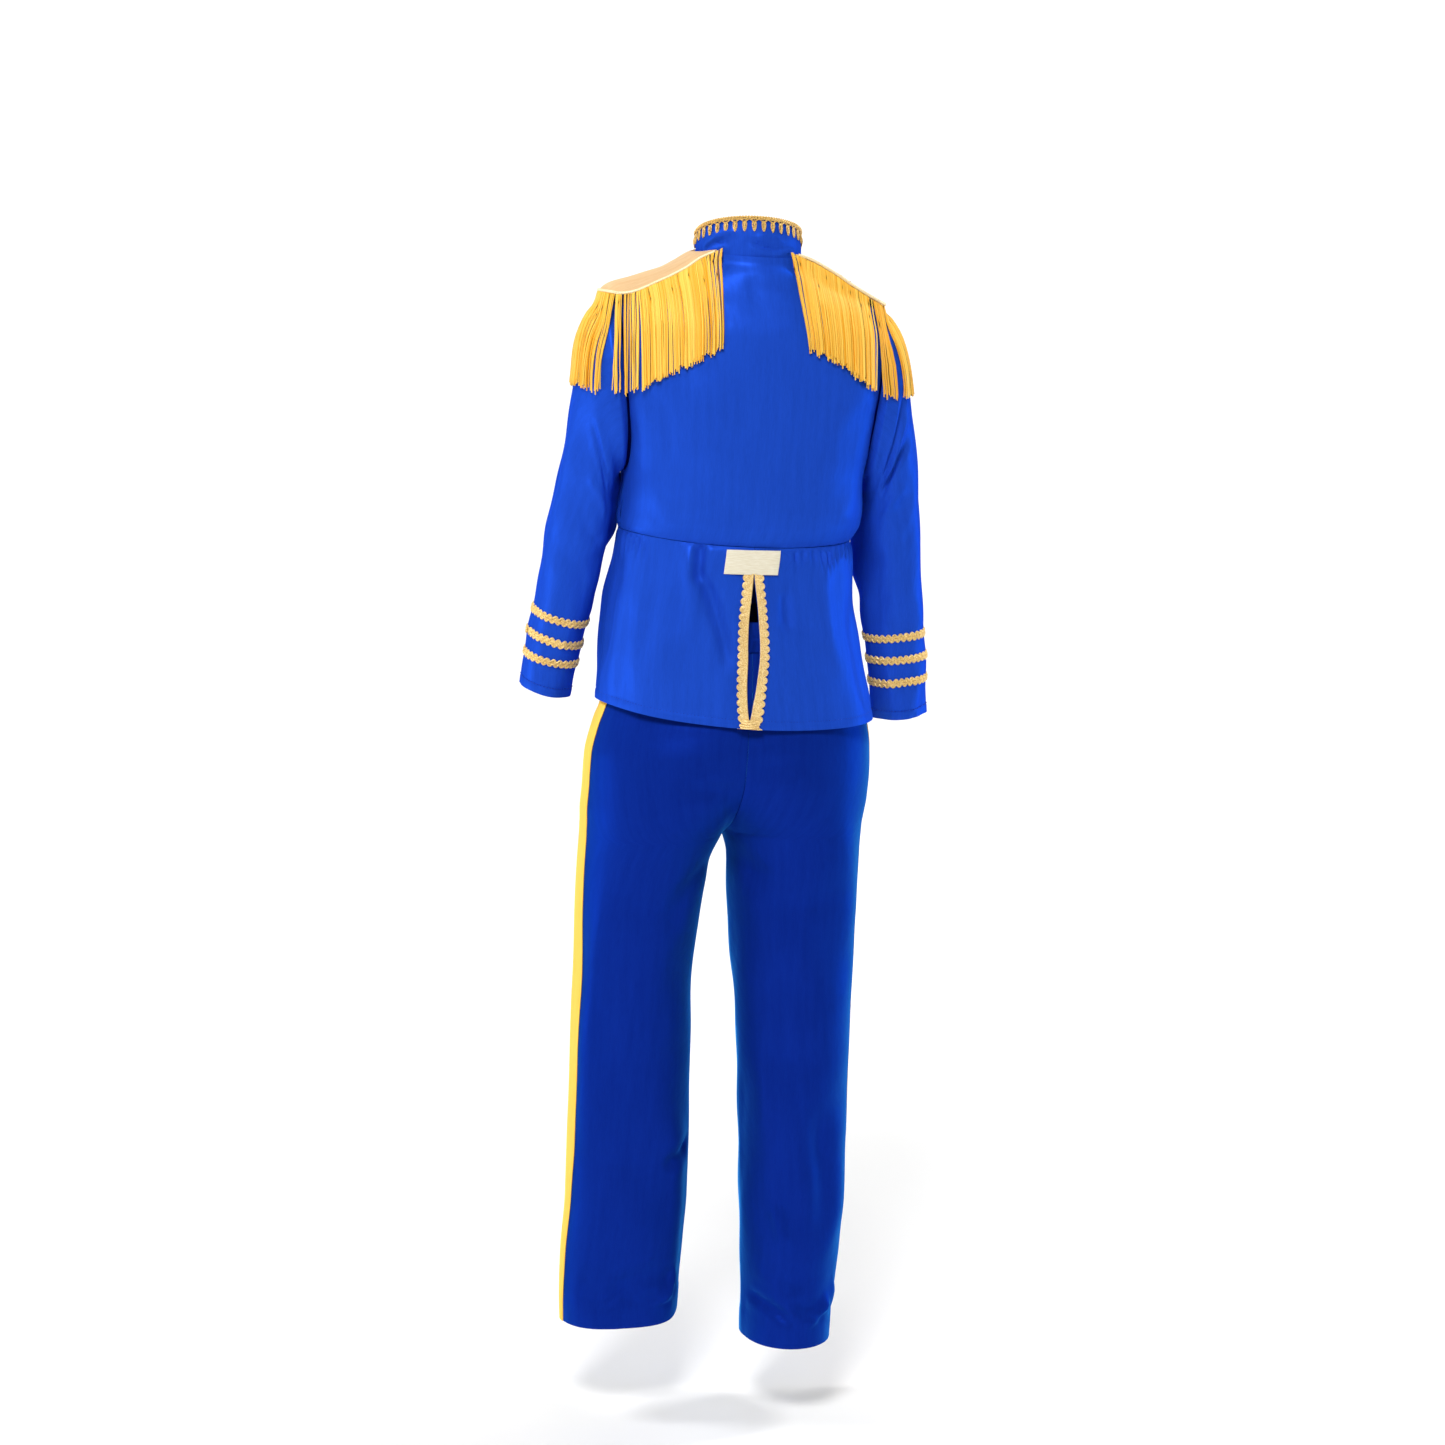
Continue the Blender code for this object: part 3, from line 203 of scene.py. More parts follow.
def seam_dip(away):
    """How far the cloth dips where it is sewn to the next piece, by the distance from the seam."""
    return SEAM_DIP["deep"] * np.exp(-away / SEAM_DIP["wide"])


def ripples(a, b, seed, size, high):
    """Faint unevenness of limp cloth, as a few long waves that cross."""
    rng = np.random.default_rng(seed)
    rise = 0.0
    for _ in range(7):
        turn, phase = rng.uniform(0, math.pi), rng.uniform(0, 2 * math.pi)
        wave = 2 * math.pi / (size * rng.uniform(0.7, 1.9))
        rise = rise + np.sin((a * math.cos(turn) + b * math.sin(turn)) * wave + phase)
    return rise * high / 3.0


def cut_sizes(points, wrap=False):
    """Width, length and area of the cloth in a grid of points, in metres, as it was cut flat."""
    ring = np.concatenate((points, points[:, :1]), axis=1) if wrap else points
    wide = np.linalg.norm(np.diff(ring, axis=1), axis=-1)
    long = np.linalg.norm(np.diff(ring, axis=0), axis=-1)
    patch = np.cross(ring[1:, 1:] - ring[:-1, :-1], ring[1:, :-1] - ring[:-1, 1:])
    area = 0.5 * np.linalg.norm(patch, axis=-1).sum() * MM * MM
    return wide.sum(axis=1).max() * MM, long.sum(axis=0).max() * MM, area


def finish_piece(piece, nodes):
    """Rides the piece on the costume and hides the plain solids that it stands for."""
    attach(piece, "root")
    if nodes:
        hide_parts(*nodes)


def grid_faces(rows, cols, wrap=False):
    """Row, column and four corners of each face of a grid, row by row."""
    r, c = np.meshgrid(np.arange(rows - 1), np.arange(cols if wrap else cols - 1), indexing="ij")
    r, c = r.ravel(), c.ravel()
    d = (c + 1) % cols
    return r, c, np.stack((r * cols + c, r * cols + d, (r + 1) * cols + d, (r + 1) * cols + c), axis=-1)


def faces_inwards(flat, faces, inside):
    """Whether faces that are wound the same way look towards the inside."""
    a, b, e = (flat[faces[:, k]] for k in (0, 1, 3))
    return np.sum(np.cross(b - a, e - a) * (a - inside)) < 0


def run_along(path):
    """Distance along a line of points, from its first one."""
    return np.concatenate(([0.0], np.cumsum(np.linalg.norm(np.diff(path, axis=0), axis=1))))


def make_object(name, points, faces, material):
    """A mesh object of points in millimetres, selected by itself."""
    mesh = bpy.data.meshes.new(name)
    mesh.from_pydata((points * MM).tolist(), [], faces)
    mesh.materials.append(material)
    piece = bpy.data.objects.new(name, mesh)
    bpy.context.scene.collection.objects.link(piece)
    bpy.ops.object.select_all(action="DESELECT")
    bpy.context.view_layer.objects.active = piece
    piece.select_set(True)
    return piece


def lay_cloth(name, points, inside, material, nodes, thick=0.8, wrap=False):
    """A sheet of cloth through a grid of points in millimetres, with its own map in metres."""
    rows, cols = points.shape[:2]
    r, c, faces = grid_faces(rows, cols, wrap)
    ring = np.concatenate((points, points[:, :1]), axis=1) if wrap else points
    across = np.concatenate((np.zeros((rows, 1)), np.cumsum(
        np.linalg.norm(np.diff(ring, axis=1), axis=-1), axis=1)), axis=1)
    across -= across[:, across.shape[1] // 2][:, None]
    down = np.concatenate((np.zeros((1, ring.shape[1])), np.cumsum(
        np.linalg.norm(np.diff(ring, axis=0), axis=-1), axis=0)), axis=0)
    corners = ((r, c), (r, c + 1), (r + 1, c + 1), (r + 1, c))
    uvs = np.stack([np.stack((across[i, j], -down[i, j]), axis=-1) for i, j in corners], axis=1) * MM

    flat = points.reshape(-1, 3)
    if faces_inwards(flat, faces, inside):
        faces = faces[:, ::-1]
        uvs = uvs[:, ::-1]
    piece = make_object(name, flat, faces.tolist(), material)
    piece.data.uv_layers.new(name="cloth").uv.foreach_set("vector", uvs.ravel().astype(np.float32))
    piece.data.polygons.foreach_set("use_smooth", np.ones(len(faces), dtype=bool))
    wall = piece.modifiers.new("wall", "SOLIDIFY")
    wall.thickness = thick * MM
    wall.offset = -1.0
    bpy.ops.object.modifier_apply(modifier="wall")
    piece.data.set_sharp_from_angle(angle=math.radians(60))
    finish_piece(piece, nodes)
    wide, long, area = cut_sizes(points, wrap)


# Level rings of the bodice: the height of the side line, of the middle back and of the middle front,
# the middle, half the width, the depth back and front, how square it is, and its rise to the left.
BODICE = section(
    ("side", "back_z", "front_z", "mid_x", "mid_y", "half", "back", "front", "round", "tilt"), [
        (-2.0, -4, -26, 0, 0, 53.5, 52, 51, 2.00, 0.055),
        (-10.0, -10.5, -33, 0, 0, 57, 53, 52.5, 2.00, 0.060),
        (-20.0, -21, -44, 0, 0, 77, 59, 58, 2.00, 0.060),
        (-33.0, -37, -60, 0, -1, 105, 64, 66, 2.15, 0.070),
        (-48.5, -53, -80, 0, -3, 131, 73, 77, 2.40, 0.068),
        (-78.0, -79, -104, 1, -5, 136, 85, 87, 2.60, 0.060),
        (-116.0, -116, -131, 2, -6, 137, 90, 92, 2.60, 0.052),
        (-156.0, -155, -162, 3, -6, 132, 91, 93, 2.50, 0.046),
        (-190.0, -190, -192, 4, -6, 125.5, 90.5, 93, 2.30, 0.045),
        (-218.0, -218, -219, 5, -6, 120.5, 90.5, 92, 2.20, 0.046),
        (-246.0, -247, -246, 6, -6, 122, 91.5, 91.5, 2.20, 0.052),
        (-262.0, -265, -262, 8, -7, 121.5, 91.5, 91, 2.20, 0.058),
        (-271.0, -276, -271, 10, -8, 119.5, 89, 89, 2.20, 0.060),
        (-277.5, -284, -277, 12, -8, 116, 84.5, 85, 2.20, 0.062),
    ])
NECK = -2.0
TIP = -48.5
UNDERARM = -218.0
WAIST = -277.5
ARMHOLE_DEPTH = 23.5
OVERLAP = 9.0
# Millimetres round the body for each degree of turn, and half the slit left between two panels.
PER_DEGREE = {"armhole": 2.3, "waist": 2.35, "vent": 2.38}
SLIT = 0.08
# The left front stands off by so much where it laps, and leaves the body between these turns short of it.
LAP = {"off": 2.7, "leaves": -30.0, "reaches": -12.0}


def closing(turn):
    """How far the left front stands off where it laps over the right one."""
    past = np.where(turn > 0, np.abs(turn) - 180.0, -999.0)
    return LAP["off"] * ease(LAP["leaves"], LAP["reaches"], past)


def bodice(side, turn, out=0.0):
    """Points of the jacket's body by height of the side line and turn (0 back, 90 left, 180 front)."""
    s = BODICE(side)
    c, q = np.cos(np.radians(turn)), np.sin(np.radians(turn))
    power = 2.0 / s["round"]
    x = s["mid_x"] + (s["half"] + out) * bend(q, power)
    y = s["mid_y"] + (np.where(c > 0, s["back"], s["front"]) + out) * bend(c, power)
    z = side + (np.where(c > 0, s["back_z"], s["front_z"]) - side) * c * c + s["tilt"] * x
    return np.stack((x, y, z), axis=-1)


def armhole_edge(side):
    """Turn at which a body panel ends: the shoulder seam, the armhole or the side seam."""
    share = np.clip((side - UNDERARM) / (TIP - UNDERARM), 0.0, 1.0)
    return 90.0 - ARMHOLE_DEPTH * np.sin(np.arccos(2 * share - 1))


bodice_rows = np.concatenate((
    np.linspace(NECK, TIP, 22)[:-1],
    UNDERARM + (TIP - UNDERARM) * (1 + np.cos(np.linspace(0, math.pi, 58))) / 2,
    np.linspace(UNDERARM, WAIST, 26)[1:]))[:, None]
body_inside = np.array((5.0, -5.0, -160.0))
# Drag lines of the back, by x and z: from, to, bow, width and height.
BACK_CREASES = [
    (8, -20, 7, -62, 0, 9, -0.6),
    (-14, -22, -20, -80, -3, 14, 0.9),
    (112, -130, 92, -205, -8, 11, -1.5),
    (104, -205, 88, -262, 4, 10, 1.2),
    (-112, -150, -84, -200, 6, 12, -1.3),
    (-106, -205, -78, -262, -5, 12, 1.3),
    (62, -120, 30, -230, 10, 26, 1.6),
    (-52, -110, -20, -235, -12, 28, -1.5),
    (96, -268, 40, -258, -5, 8, 0.9),
    (-98, -262, -50, -254, 4, 8, 0.8),
]


def waist_puckers(along, above, seed):
    """Small tucks that the waist seam pulls into the cloth next to it."""
    wave = np.sin(along / 2.1 + 1.6 * np.sin(along / 13.0 + seed) + seed)
    return 0.55 * wave * (0.5 + 0.5 * np.sin(along / 19.0 + seed)) * np.exp(-np.abs(above) / 9.0)


edge = armhole_edge(bodice_rows) - SLIT
back_turns = edge * np.linspace(-1.0, 1.0, 121)[None, :]
back_points = bodice(bodice_rows, back_turns)
rise = creases(back_points[..., 0], back_points[..., 2], BACK_CREASES)
rise = rise + ripples(back_points[..., 0], back_points[..., 2], 3, 70, 0.9)
rise = rise + waist_puckers(back_points[..., 0], bodice_rows - WAIST, 0.4)
rise = rise * ease(0.0, 12.0, bodice_rows - WAIST)
rise = rise - seam_dip((edge - np.abs(back_turns)) * PER_DEGREE["armhole"])
back_points = back_points + grid_normals(back_points, body_inside) * rise[..., None]
lay_cloth("satin_back", back_points, body_inside, jacket_satin, ["back_bodice"])


# Fronts of the bodice. Two mirrored pieces that close down the middle, the left over the right, with
# the same soft drag lines from the armholes as the back.
FRONT_CREASES = [
    (104, -110, 78, -190, -8, 14, -1.5),
    (84, -150, 40, -245, 10, 24, 1.6),
    (60, -70, 42, -150, -6, 22, -1.2),
    (30, -180, 12, -262, 4, 12, -1.1),
    (96, -262, 44, -252, 5, 8, 0.9),
]


def bodice_front(sign, lapped):
    """Points of the left (1) or right (-1) front; the lapped one stands off where it covers the other."""
    lap = OVERLAP / PER_DEGREE["waist"]
    first = 180.0 - (armhole_edge(bodice_rows) - SLIT)
    last = 180.0 + lap
    turns = sign * (first + (last - first) * np.linspace(0.0, 1.0, 77)[None, :])
    points = bodice(bodice_rows, turns, closing(turns) if lapped else 0.0)
    x = points[..., 0] * sign
    rise = creases(x, points[..., 2], FRONT_CREASES) + ripples(x, points[..., 2], 5, 60, 0.5)
    rise = rise + waist_puckers(x, bodice_rows - WAIST, 1.7)
    rise = rise * ease(0.0, 12.0, bodice_rows - WAIST)
    rise = rise - seam_dip((np.abs(turns) - first) * PER_DEGREE["armhole"])
    return points + grid_normals(points, body_inside) * rise[..., None]


front_left_points = bodice_front(1, True)
front_right_points = bodice_front(-1, False)
for word, points in (("left", front_left_points), ("right", front_right_points)):
    lay_cloth("satin_front_" + word, points, body_inside, jacket_satin,
              ["front_%s_bodice" % word])


# Stand collar. A stiffened band of the same satin, closed at the front, that leans a little and
# wrinkles where the neck bends.
COLLAR_OPEN = 177.6
collar_inside = np.array((0.0, 0.0, 8.0))


def collar(up, turn):
    """Points of the collar; up runs from 0 at its seam to 1 at its upper edge."""
    c, q = np.cos(np.radians(turn)), np.sin(np.radians(turn))
    x = (52.6 - 2.2 * up) * q
    y = (np.where(c > 0, 51.2 - 2.6 * up, 50.2 - 1.6 * up)) * c
    low = bodice(np.full_like(turn, NECK), turn)[..., 2] - 0.6
    high = np.where(c > 0, 18.5 + 16.5 * bend(c, 0.85), 18.5 - 13.5 * np.abs(c) ** 1.2) + 0.055 * x
    return np.stack((x, y, low + (high - low) * up), axis=-1)


# Wrinkles of the collar, by arc from the middle back (towards the left) and height above the seam.
COLLAR_CREASES = [
    (-34, 9, 10, 13, -3, 2.6, -1.5),
    (-26, 15, 2, 16, 2, 3.0, 1.0),
    (30, 12, 62, 2, 3, 3.2, -1.4),
    (22, 20, 50, 14, 2, 3.4, 1.0),
    (-44, 4, -20, 6, 2, 2.6, 0.8),
    (-120, 10, -86, 6, 3, 3.4, -1.2),
    (84, 6, 112, 12, -3, 3.4, -1.2),
]
collar_ups = np.linspace(0.0, 1.0, 16)[:, None]
collar_turns = np.linspace(-COLLAR_OPEN, COLLAR_OPEN, 181)[None, :]
collar_points = collar(collar_ups, collar_turns)
COLLAR = {"radius": 52.0, "tall": 32.0, "fold": 1.7}
arc = np.radians(collar_turns) * COLLAR["radius"]
rise = COLLAR["fold"] * creases(arc, collar_ups * COLLAR["tall"], COLLAR_CREASES)
rise = rise + 0.5 * np.sin(np.pi * collar_ups) ** 2
collar_points = collar_points + grid_normals(collar_points, collar_inside) * rise[..., None]
lay_cloth("satin_collar", collar_points, collar_inside, jacket_satin, ["collar"],
          thick=1.4)


# Collar trim. Gold gimp lace sewn over the collar's upper edge: a twisted double cord above a row of
# leaf-shaped drops on crossed threads.
def gimp_yarn(name, light, deep, glow="#ffe9a8", gloss=0.5):
    """Rayon gimp: thread wound round a core, so fine ridges run round each cord."""
    material, tree, shader = start_material(name)
    space = add_node(tree, "TexCoord")
    # The winding thread is 0.3 mm thick; it is drawn as 0.9 mm speckle, the finest that shows.
    speckle = add_node(tree, "TexNoise", {"Vector": space.outputs["Object"], "Scale": 1100.0, "Detail": 2.0})
    tone = colour_ramp(tree, speckle.outputs["Fac"], (0.35, deep), (0.62, light))
    bump = add_node(tree, "Bump", {"Height": speckle.outputs["Fac"], "Strength": 0.5, "Distance": 0.0004})
    wire_up(tree, shader, tone, bump)
    shader.inputs["Roughness"].default_value = 0.42
    shader.inputs["Metallic"].default_value = 0.15
    shader.inputs["Specular IOR Level"].default_value = gloss
    shader.inputs["Sheen Weight"].default_value = 0.3
    shader.inputs["Sheen Tint"].default_value = sheet_colour(glow)
    return material


gold_gimp = gimp_yarn("gold_gimp", "#ffdd8c", "#d3a350")


def cord_mesh(paths, thick, sides=6):
    """Points and faces of round cords along paths; thick is one measure or one for each path."""
    all_points, all_faces, start = [], [], 0
    for path, across in zip(paths, np.broadcast_to(thick, len(paths))):
        way = np.gradient(path, axis=0)
        way /= np.maximum(np.linalg.norm(way, axis=1, keepdims=True), 1e-9)
        side = np.cross(way, np.array((0.13, 0.21, 0.97)))
        side /= np.maximum(np.linalg.norm(side, axis=1, keepdims=True), 1e-9)
        up = np.cross(side, way)
        angles = np.arange(sides) * 2 * math.pi / sides
        ring = side[:, None] * np.cos(angles)[None, :, None] + up[:, None] * np.sin(angles)[None, :, None]
        count = len(path)
        all_points.append((path[:, None] + ring * across / 2).reshape(-1, 3))
        all_faces += (grid_faces(count, sides, True)[2] + start).tolist()
        all_faces.append([start + k for k in range(sides)][::-1])
        all_faces.append([start + (count - 1) * sides + k for k in range(sides)])
        start += count * sides
    return np.concatenate(all_points), all_faces


def trim_piece(name, points, faces, material, nodes):
    """A piece of trim from points in millimetres, with its faces turned outwards."""
    piece = make_object(name, points, faces, material)
    bpy.ops.object.mode_set(mode="EDIT")
    bpy.ops.mesh.select_all(action="SELECT")
    bpy.ops.mesh.normals_make_consistent(inside=False)
    bpy.ops.object.mode_set(mode="OBJECT")
    bpy.ops.object.shade_smooth_by_angle(angle=math.radians(60))
    finish_piece(piece, nodes)
    return piece


def place_on(surface, inside, row, turn, height, row_step, turn_step):
    """Points on a cloth surface at given rows and turns, moved out by a height."""
    spot = surface(row, turn)
    along = surface(row + row_step, turn) - surface(row - row_step, turn)
    across = surface(row, turn + turn_step) - surface(row, turn - turn_step)
    normal = np.cross(along, across)
    normal /= np.maximum(np.linalg.norm(normal, axis=-1, keepdims=True), 1e-9)
    facing = np.sum(normal * (spot - inside), axis=-1, keepdims=True)
    return spot + normal * np.sign(facing) * np.asarray(height)[..., None]


lace_gimp = gimp_yarn("lace_gimp", "#ffd67c", "#a8772c")
LEAVES = 34
LACE_RADIUS = 51.0
LEAF_PITCH = 2 * COLLAR_OPEN / LEAVES * math.pi / 180 * LACE_RADIUS
# The double cord above the leaves: length of one twist, height of its middle and thickness.
TWIST = {"pitch": 5.6, "down": 1.9, "thick": 1.9}


def lace_leaf():
    """One repeat of the lace, flat: along, down from the upper edge, and out, in millimetres."""
    t = np.linspace(0.0, 1.0, 17)
    half = LEAF_PITCH / 2
    round_t = 2 * math.pi * t
    leaf = np.stack((2.3 * np.sin(round_t) * (0.68 + 0.32 * np.cos(round_t)), 9.8 - 4.6 * np.cos(round_t),
                     np.full_like(t, 1.2)), axis=-1)
    vein = np.stack((np.zeros_like(t), 6.6 + 6.4 * t, 1.6 + 0.5 * np.sin(math.pi * t)), axis=-1)
    left = np.stack((-half * (1 - t), 3.2 + 3.4 * t ** 1.4, 1.0 + 0.3 * np.sin(math.pi * t)), axis=-1)
    right = left * np.array((-1.0, 1.0, 1.0))
    return [(leaf, 1.5), (vein, 1.5), (left, 1.3), (right, 1.3)]


cords = [(path + np.array((LEAF_PITCH * (k + 0.5 - LEAVES / 2), 0.0, 0.0)), thick)
         for k in range(LEAVES) for path, thick in lace_leaf()]
arc = LEAF_PITCH * LEAVES * np.linspace(-0.5, 0.5, LEAVES * 14)
for shift in (0.0, math.pi):
    twist = arc * 2 * math.pi / TWIST["pitch"] + shift
    path = np.stack((arc, TWIST["down"] + 1.25 * np.sin(twist), 1.4 + 0.7 * np.cos(twist)), axis=-1)
    cords.append((path, TWIST["thick"]))
flat, faces = cord_mesh([path for path, _ in cords], [thick for _, thick in cords], 5)
turn = flat[:, 0] / LACE_RADIUS * 180 / math.pi
tall = np.linalg.norm(collar(np.ones(len(flat)), turn) - collar(np.zeros(len(flat)), turn), axis=-1)
# Where the band is low, the leaves are pressed together.
drop = np.minimum(flat[:, 1], 4.0 + (flat[:, 1] - 4.0) * np.clip((tall - 6.0) / 9.6, 0.3, 1.0))
placed = place_on(collar, collar_inside, 1.0 + (0.6 - drop) / tall, turn, flat[:, 2] - 0.1, 0.02, 1.0)
trim_piece("collar_lace", placed, faces, lace_gimp, ["collar_trim"])


# Peplum. Four panels of satin gathered into the waist seam, falling over the hips to a topstitched
# hem; the two back ones part at the vent.
PEPLUM = section(
    ("down", "side_z", "back_z", "front_z", "mid_x", "mid_y", "half", "back", "front", "tilt"), [
        (0.00, -278.1, -284.6, -277.6, 12.0, -8, 116.0, 84.5, 85, 0.062),
        (0.04, -285, -291, -284, 12.0, -8, 117.5, 86.0, 86, 0.063),
        (0.12, -299, -305, -298, 12.5, -8, 119.5, 87.5, 87.5, 0.065),
        (0.26, -323, -330, -322, 14.0, -8, 121.5, 89.5, 89, 0.068),
        (0.42, -351, -359, -350, 15.5, -9, 126.0, 91.5, 90.5, 0.072),
        (0.58, -379, -387, -378, 15.5, -9, 129.5, 93.5, 92, 0.076),
        (0.74, -407, -416, -406, 14.5, -9, 133.5, 95.0, 93, 0.080),
        (0.88, -432, -441, -431, 12.5, -9, 137.0, 96.5, 94.5, 0.084),
        (1.00, -453, -462, -452, 11.0, -9, 139.5, 97.5, 96, 0.086),
    ])
PEPLUM_LONG = 176.0
PEPLUM_FOLD = 1.45
VENT = section(("down", "half_gap"), [
    (0.0, 0.2), (0.13, 0.2), (0.2, 0.9), (0.4, 3.9), (0.55, 4.75), (0.72, 3.8), (0.9, 1.6),
    (0.965, 0.3), (1.0, 0.2)])
VENT_LINE = section(("down", "turn"), [
    (0.0, -0.6), (0.12, -0.4), (0.42, -1.0), (0.58, -1.0), (0.74, 0.1), (0.88, 1.4), (1.0, 2.2)])
# Bands of gathers: turn from and to, spacing and height of a gather, and how far down they run.
GATHERS = [
    (-88.0, -15.5, 9.0, 1.6, 0.15),
    (52.0, 88.0, 9.5, 1.6, 0.17),
    (96.0, 150.0, 11.5, 1.4, 0.20),
    (-150.0, -96.0, 11.5, 1.4, 0.20),
]
# Long folds of the peplum, by arc from the middle back (towards the left) and distance down.
PEPLUM_CREASES = [
    (56, -4, 57, 40, 0, 6, -3.6),
    (57, 26, 22, 112, 6, 8, -3.6),
    (72, 4, 60, 96, 6, 10, 2.2),
    (-38, 44, -40, 78, 0, 8, -2.4),
    (-44, 20, -58, 96, -8, 22, -2.4),
    (-20, 70, -30, 150, 4, 18, 1.2),
    (-84, 12, -96, 120, -6, 12, 1.4),
    (102, 6, 112, 130, 6, 11, -1.6),
    (86, 60, 92, 160, 4, 14, 1.3),
    (24, 120, 30, 172, 0, 10, 1.0),
    (160, 10, 170, 150, 6, 14, -2.0),
    (-160, 10, -172, 150, -6, 14, -2.0),
    (210, 20, 216, 160, 4, 16, 1.8),
    (-214, 20, -210, 160, 4, 16, 1.8),
    (128, 60, 134, 170, 4, 12, -1.5),
    (-128, 60, -136, 170, -4, 12, -1.5),
]
HEM_STITCH = 8.5
hip_inside = np.array((12.0, -8.0, -370.0))


def peplum(down, turn, out=0.0):
    """Points of the smooth peplum; down runs from 0 at the waist seam to 1 at the hem."""
    s = PEPLUM(down)
    c, q = np.cos(np.radians(turn)), np.sin(np.radians(turn))
    x = s["mid_x"] + (s["half"] + out) * bend(q, 1 / 1.1)
    y = s["mid_y"] + (np.where(c > 0, s["back"], s["front"]) + out) * bend(c, 1 / 1.1)
    z = s["side_z"] + (np.where(c > 0, s["back_z"], s["front_z"]) - s["side_z"]) * c * c + s["tilt"] * x
    return np.stack((x, y, z), axis=-1)


def peplum_arc(turn):
    """Millimetres round the peplum from the middle back, half-way down."""
    marks = np.linspace(-200.0, 200.0, 401)
    arc = run_along(peplum(np.full(401, 0.5), marks))
    return np.interp(turn, marks, arc - np.interp(0.0, marks, arc))


def peplum_rise(down, turn):
    """Height of the peplum's folds, gathers and stitched hem."""
    arc = peplum_arc(turn)
    far = down * PEPLUM_LONG
    rise = PEPLUM_FOLD * creases(arc, far, PEPLUM_CREASES) + ripples(arc, far, 11, 60, 1.0)
    for first, last, wide, high, deep in GATHERS:
        inside = ease(first, first + 5.0, turn) * (1 - ease(last - 5.0, last, turn))
        phase = arc / wide + 0.35 * np.sin(arc / 17.0) + 0.2 * np.sin(arc / 7.3)
        fade = ease(0.0, 0.035, down) * (1 - ease(0.05, deep * (1.0 + 0.4 * np.sin(arc / 8.0)), down))
        rise = rise + high * inside * fade * np.cos(2 * math.pi * phase)
    hem = far - (PEPLUM_LONG - HEM_STITCH)
    rise = rise + 0.55 * ease(-0.4, 1.2, hem) - 0.5 * np.exp(-(hem / 1.2) ** 2)
    return rise * ease(0.0, 0.02, down)


def peplum_panel(node, first, last, vent=0, lapped=False):
    """One panel between two turns, whose first (1) or last (-1) edge may follow the vent instead."""
    down = np.linspace(0.0, 1.0, 75)[:, None]
    share = np.linspace(0.0, 1.0, 84)[None, :]
    gap = VENT(down)["half_gap"] / PER_DEGREE["waist"]
    start = VENT_LINE(down)["turn"] + gap if vent > 0 else np.full_like(down, first)
    end = VENT_LINE(down)["turn"] - gap if vent < 0 else np.full_like(down, last)
    turn = start + (end - start) * share
    points = peplum(down, turn, closing(turn) if lapped else 0.0)
    points = points + grid_normals(points, hip_inside) * peplum_rise(down, turn)[..., None]
    lay_cloth("satin_" + node, points, hip_inside, jacket_satin, [node])


peplum_lap = OVERLAP / PER_DEGREE["waist"]
peplum_panel("peplum_back_left", 0.0, 90.0 - SLIT, 1)
peplum_panel("peplum_back_right", SLIT - 90.0, 0.0, -1)
peplum_panel("peplum_front_left", 90.0 + SLIT, 180.0 + peplum_lap, lapped=True)
peplum_panel("peplum_front_right", -180.0 - peplum_lap, -90.0 - SLIT)


def peplum_place(row, turn, height):
    """Points that lie on the creased peplum."""
    return place_on(peplum, hip_inside, row, turn, height + peplum_rise(row, turn), 0.01, 0.5)


def peplum_at(x, z):
    """Row and turn of the points of the back peplum at given x and height."""
    x, z = np.broadcast_arrays(np.asarray(x, dtype=float), np.asarray(z, dtype=float))
    down, turn = np.full(x.shape, 0.5), np.zeros(x.shape)
    # Thirty steps by about the millimetres that a degree and the whole length measure.
    for _ in range(30):
        point = peplum(down, turn)
        turn = turn + (x - point[..., 0]) / 2.4
        down = np.clip(down + (point[..., 2] - z) / 180.0, 0.0, 1.0)
    return down, turn


# Back tab. A strip of cream ribbon, its ends turned under, sewn flat over the top of the vent.
TAB = {"left": 37.5, "right": -16.0, "top": -286.6, "bottom": -310.0, "lean": 3.6}


def ribbon(name, light, deep):
    """Grosgrain-like ribbon: fine ribs across, matt and slightly uneven."""
    material, tree, shader = start_material(name)
    cloth = add_node(tree, "UVMap", uv_map="cloth")
    # Ribs 0.4 mm apart, drawn 1.2 mm apart so that they show.
    grain = drawn_noise(tree, cloth, (120.0, 830.0, 1.0))
    tone = colour_ramp(tree, grain.outputs["Fac"], (0.3, deep), (0.7, light))
    bump = add_node(tree, "Bump", {"Height": grain.outputs["Fac"], "Strength": 0.2, "Distance": 0.0003})
    wire_up(tree, shader, tone, bump)
    shader.inputs["Roughness"].default_value = 0.7
    return material


cream_ribbon = ribbon("cream_ribbon", "#ece5d0", "#e0d6ba")
share = np.linspace(0.0, 1.0, 22)[:, None]
across = np.linspace(0.0, 1.0, 44)[None, :]
tab_x = TAB["right"] + (TAB["left"] - TAB["right"]) * across + TAB["lean"] * share
tab_z = TAB["top"] + (TAB["bottom"] - TAB["top"]) * share + 0.045 * (tab_x - 10.0)
rim = np.minimum(np.minimum(share, 1 - share) * (TAB["top"] - TAB["bottom"]),
                 np.minimum(across, 1 - across) * (TAB["left"] - TAB["right"]))
lift = 1.5 + 0.6 * ease(0.0, 1.6, rim) - 0.35 * np.exp(-((rim - 2.2) / 0.5) ** 2)
lift = lift + ripples(tab_x, tab_z, 21, 18, 0.25)
down, turn = peplum_at(tab_x, tab_z)
tab_points = place_on(peplum, hip_inside, down, turn, lift, 0.01, 0.5)
lay_cloth("cream_tab", tab_points, hip_inside, cream_ribbon, ["back_tab"],
          thick=1.0)


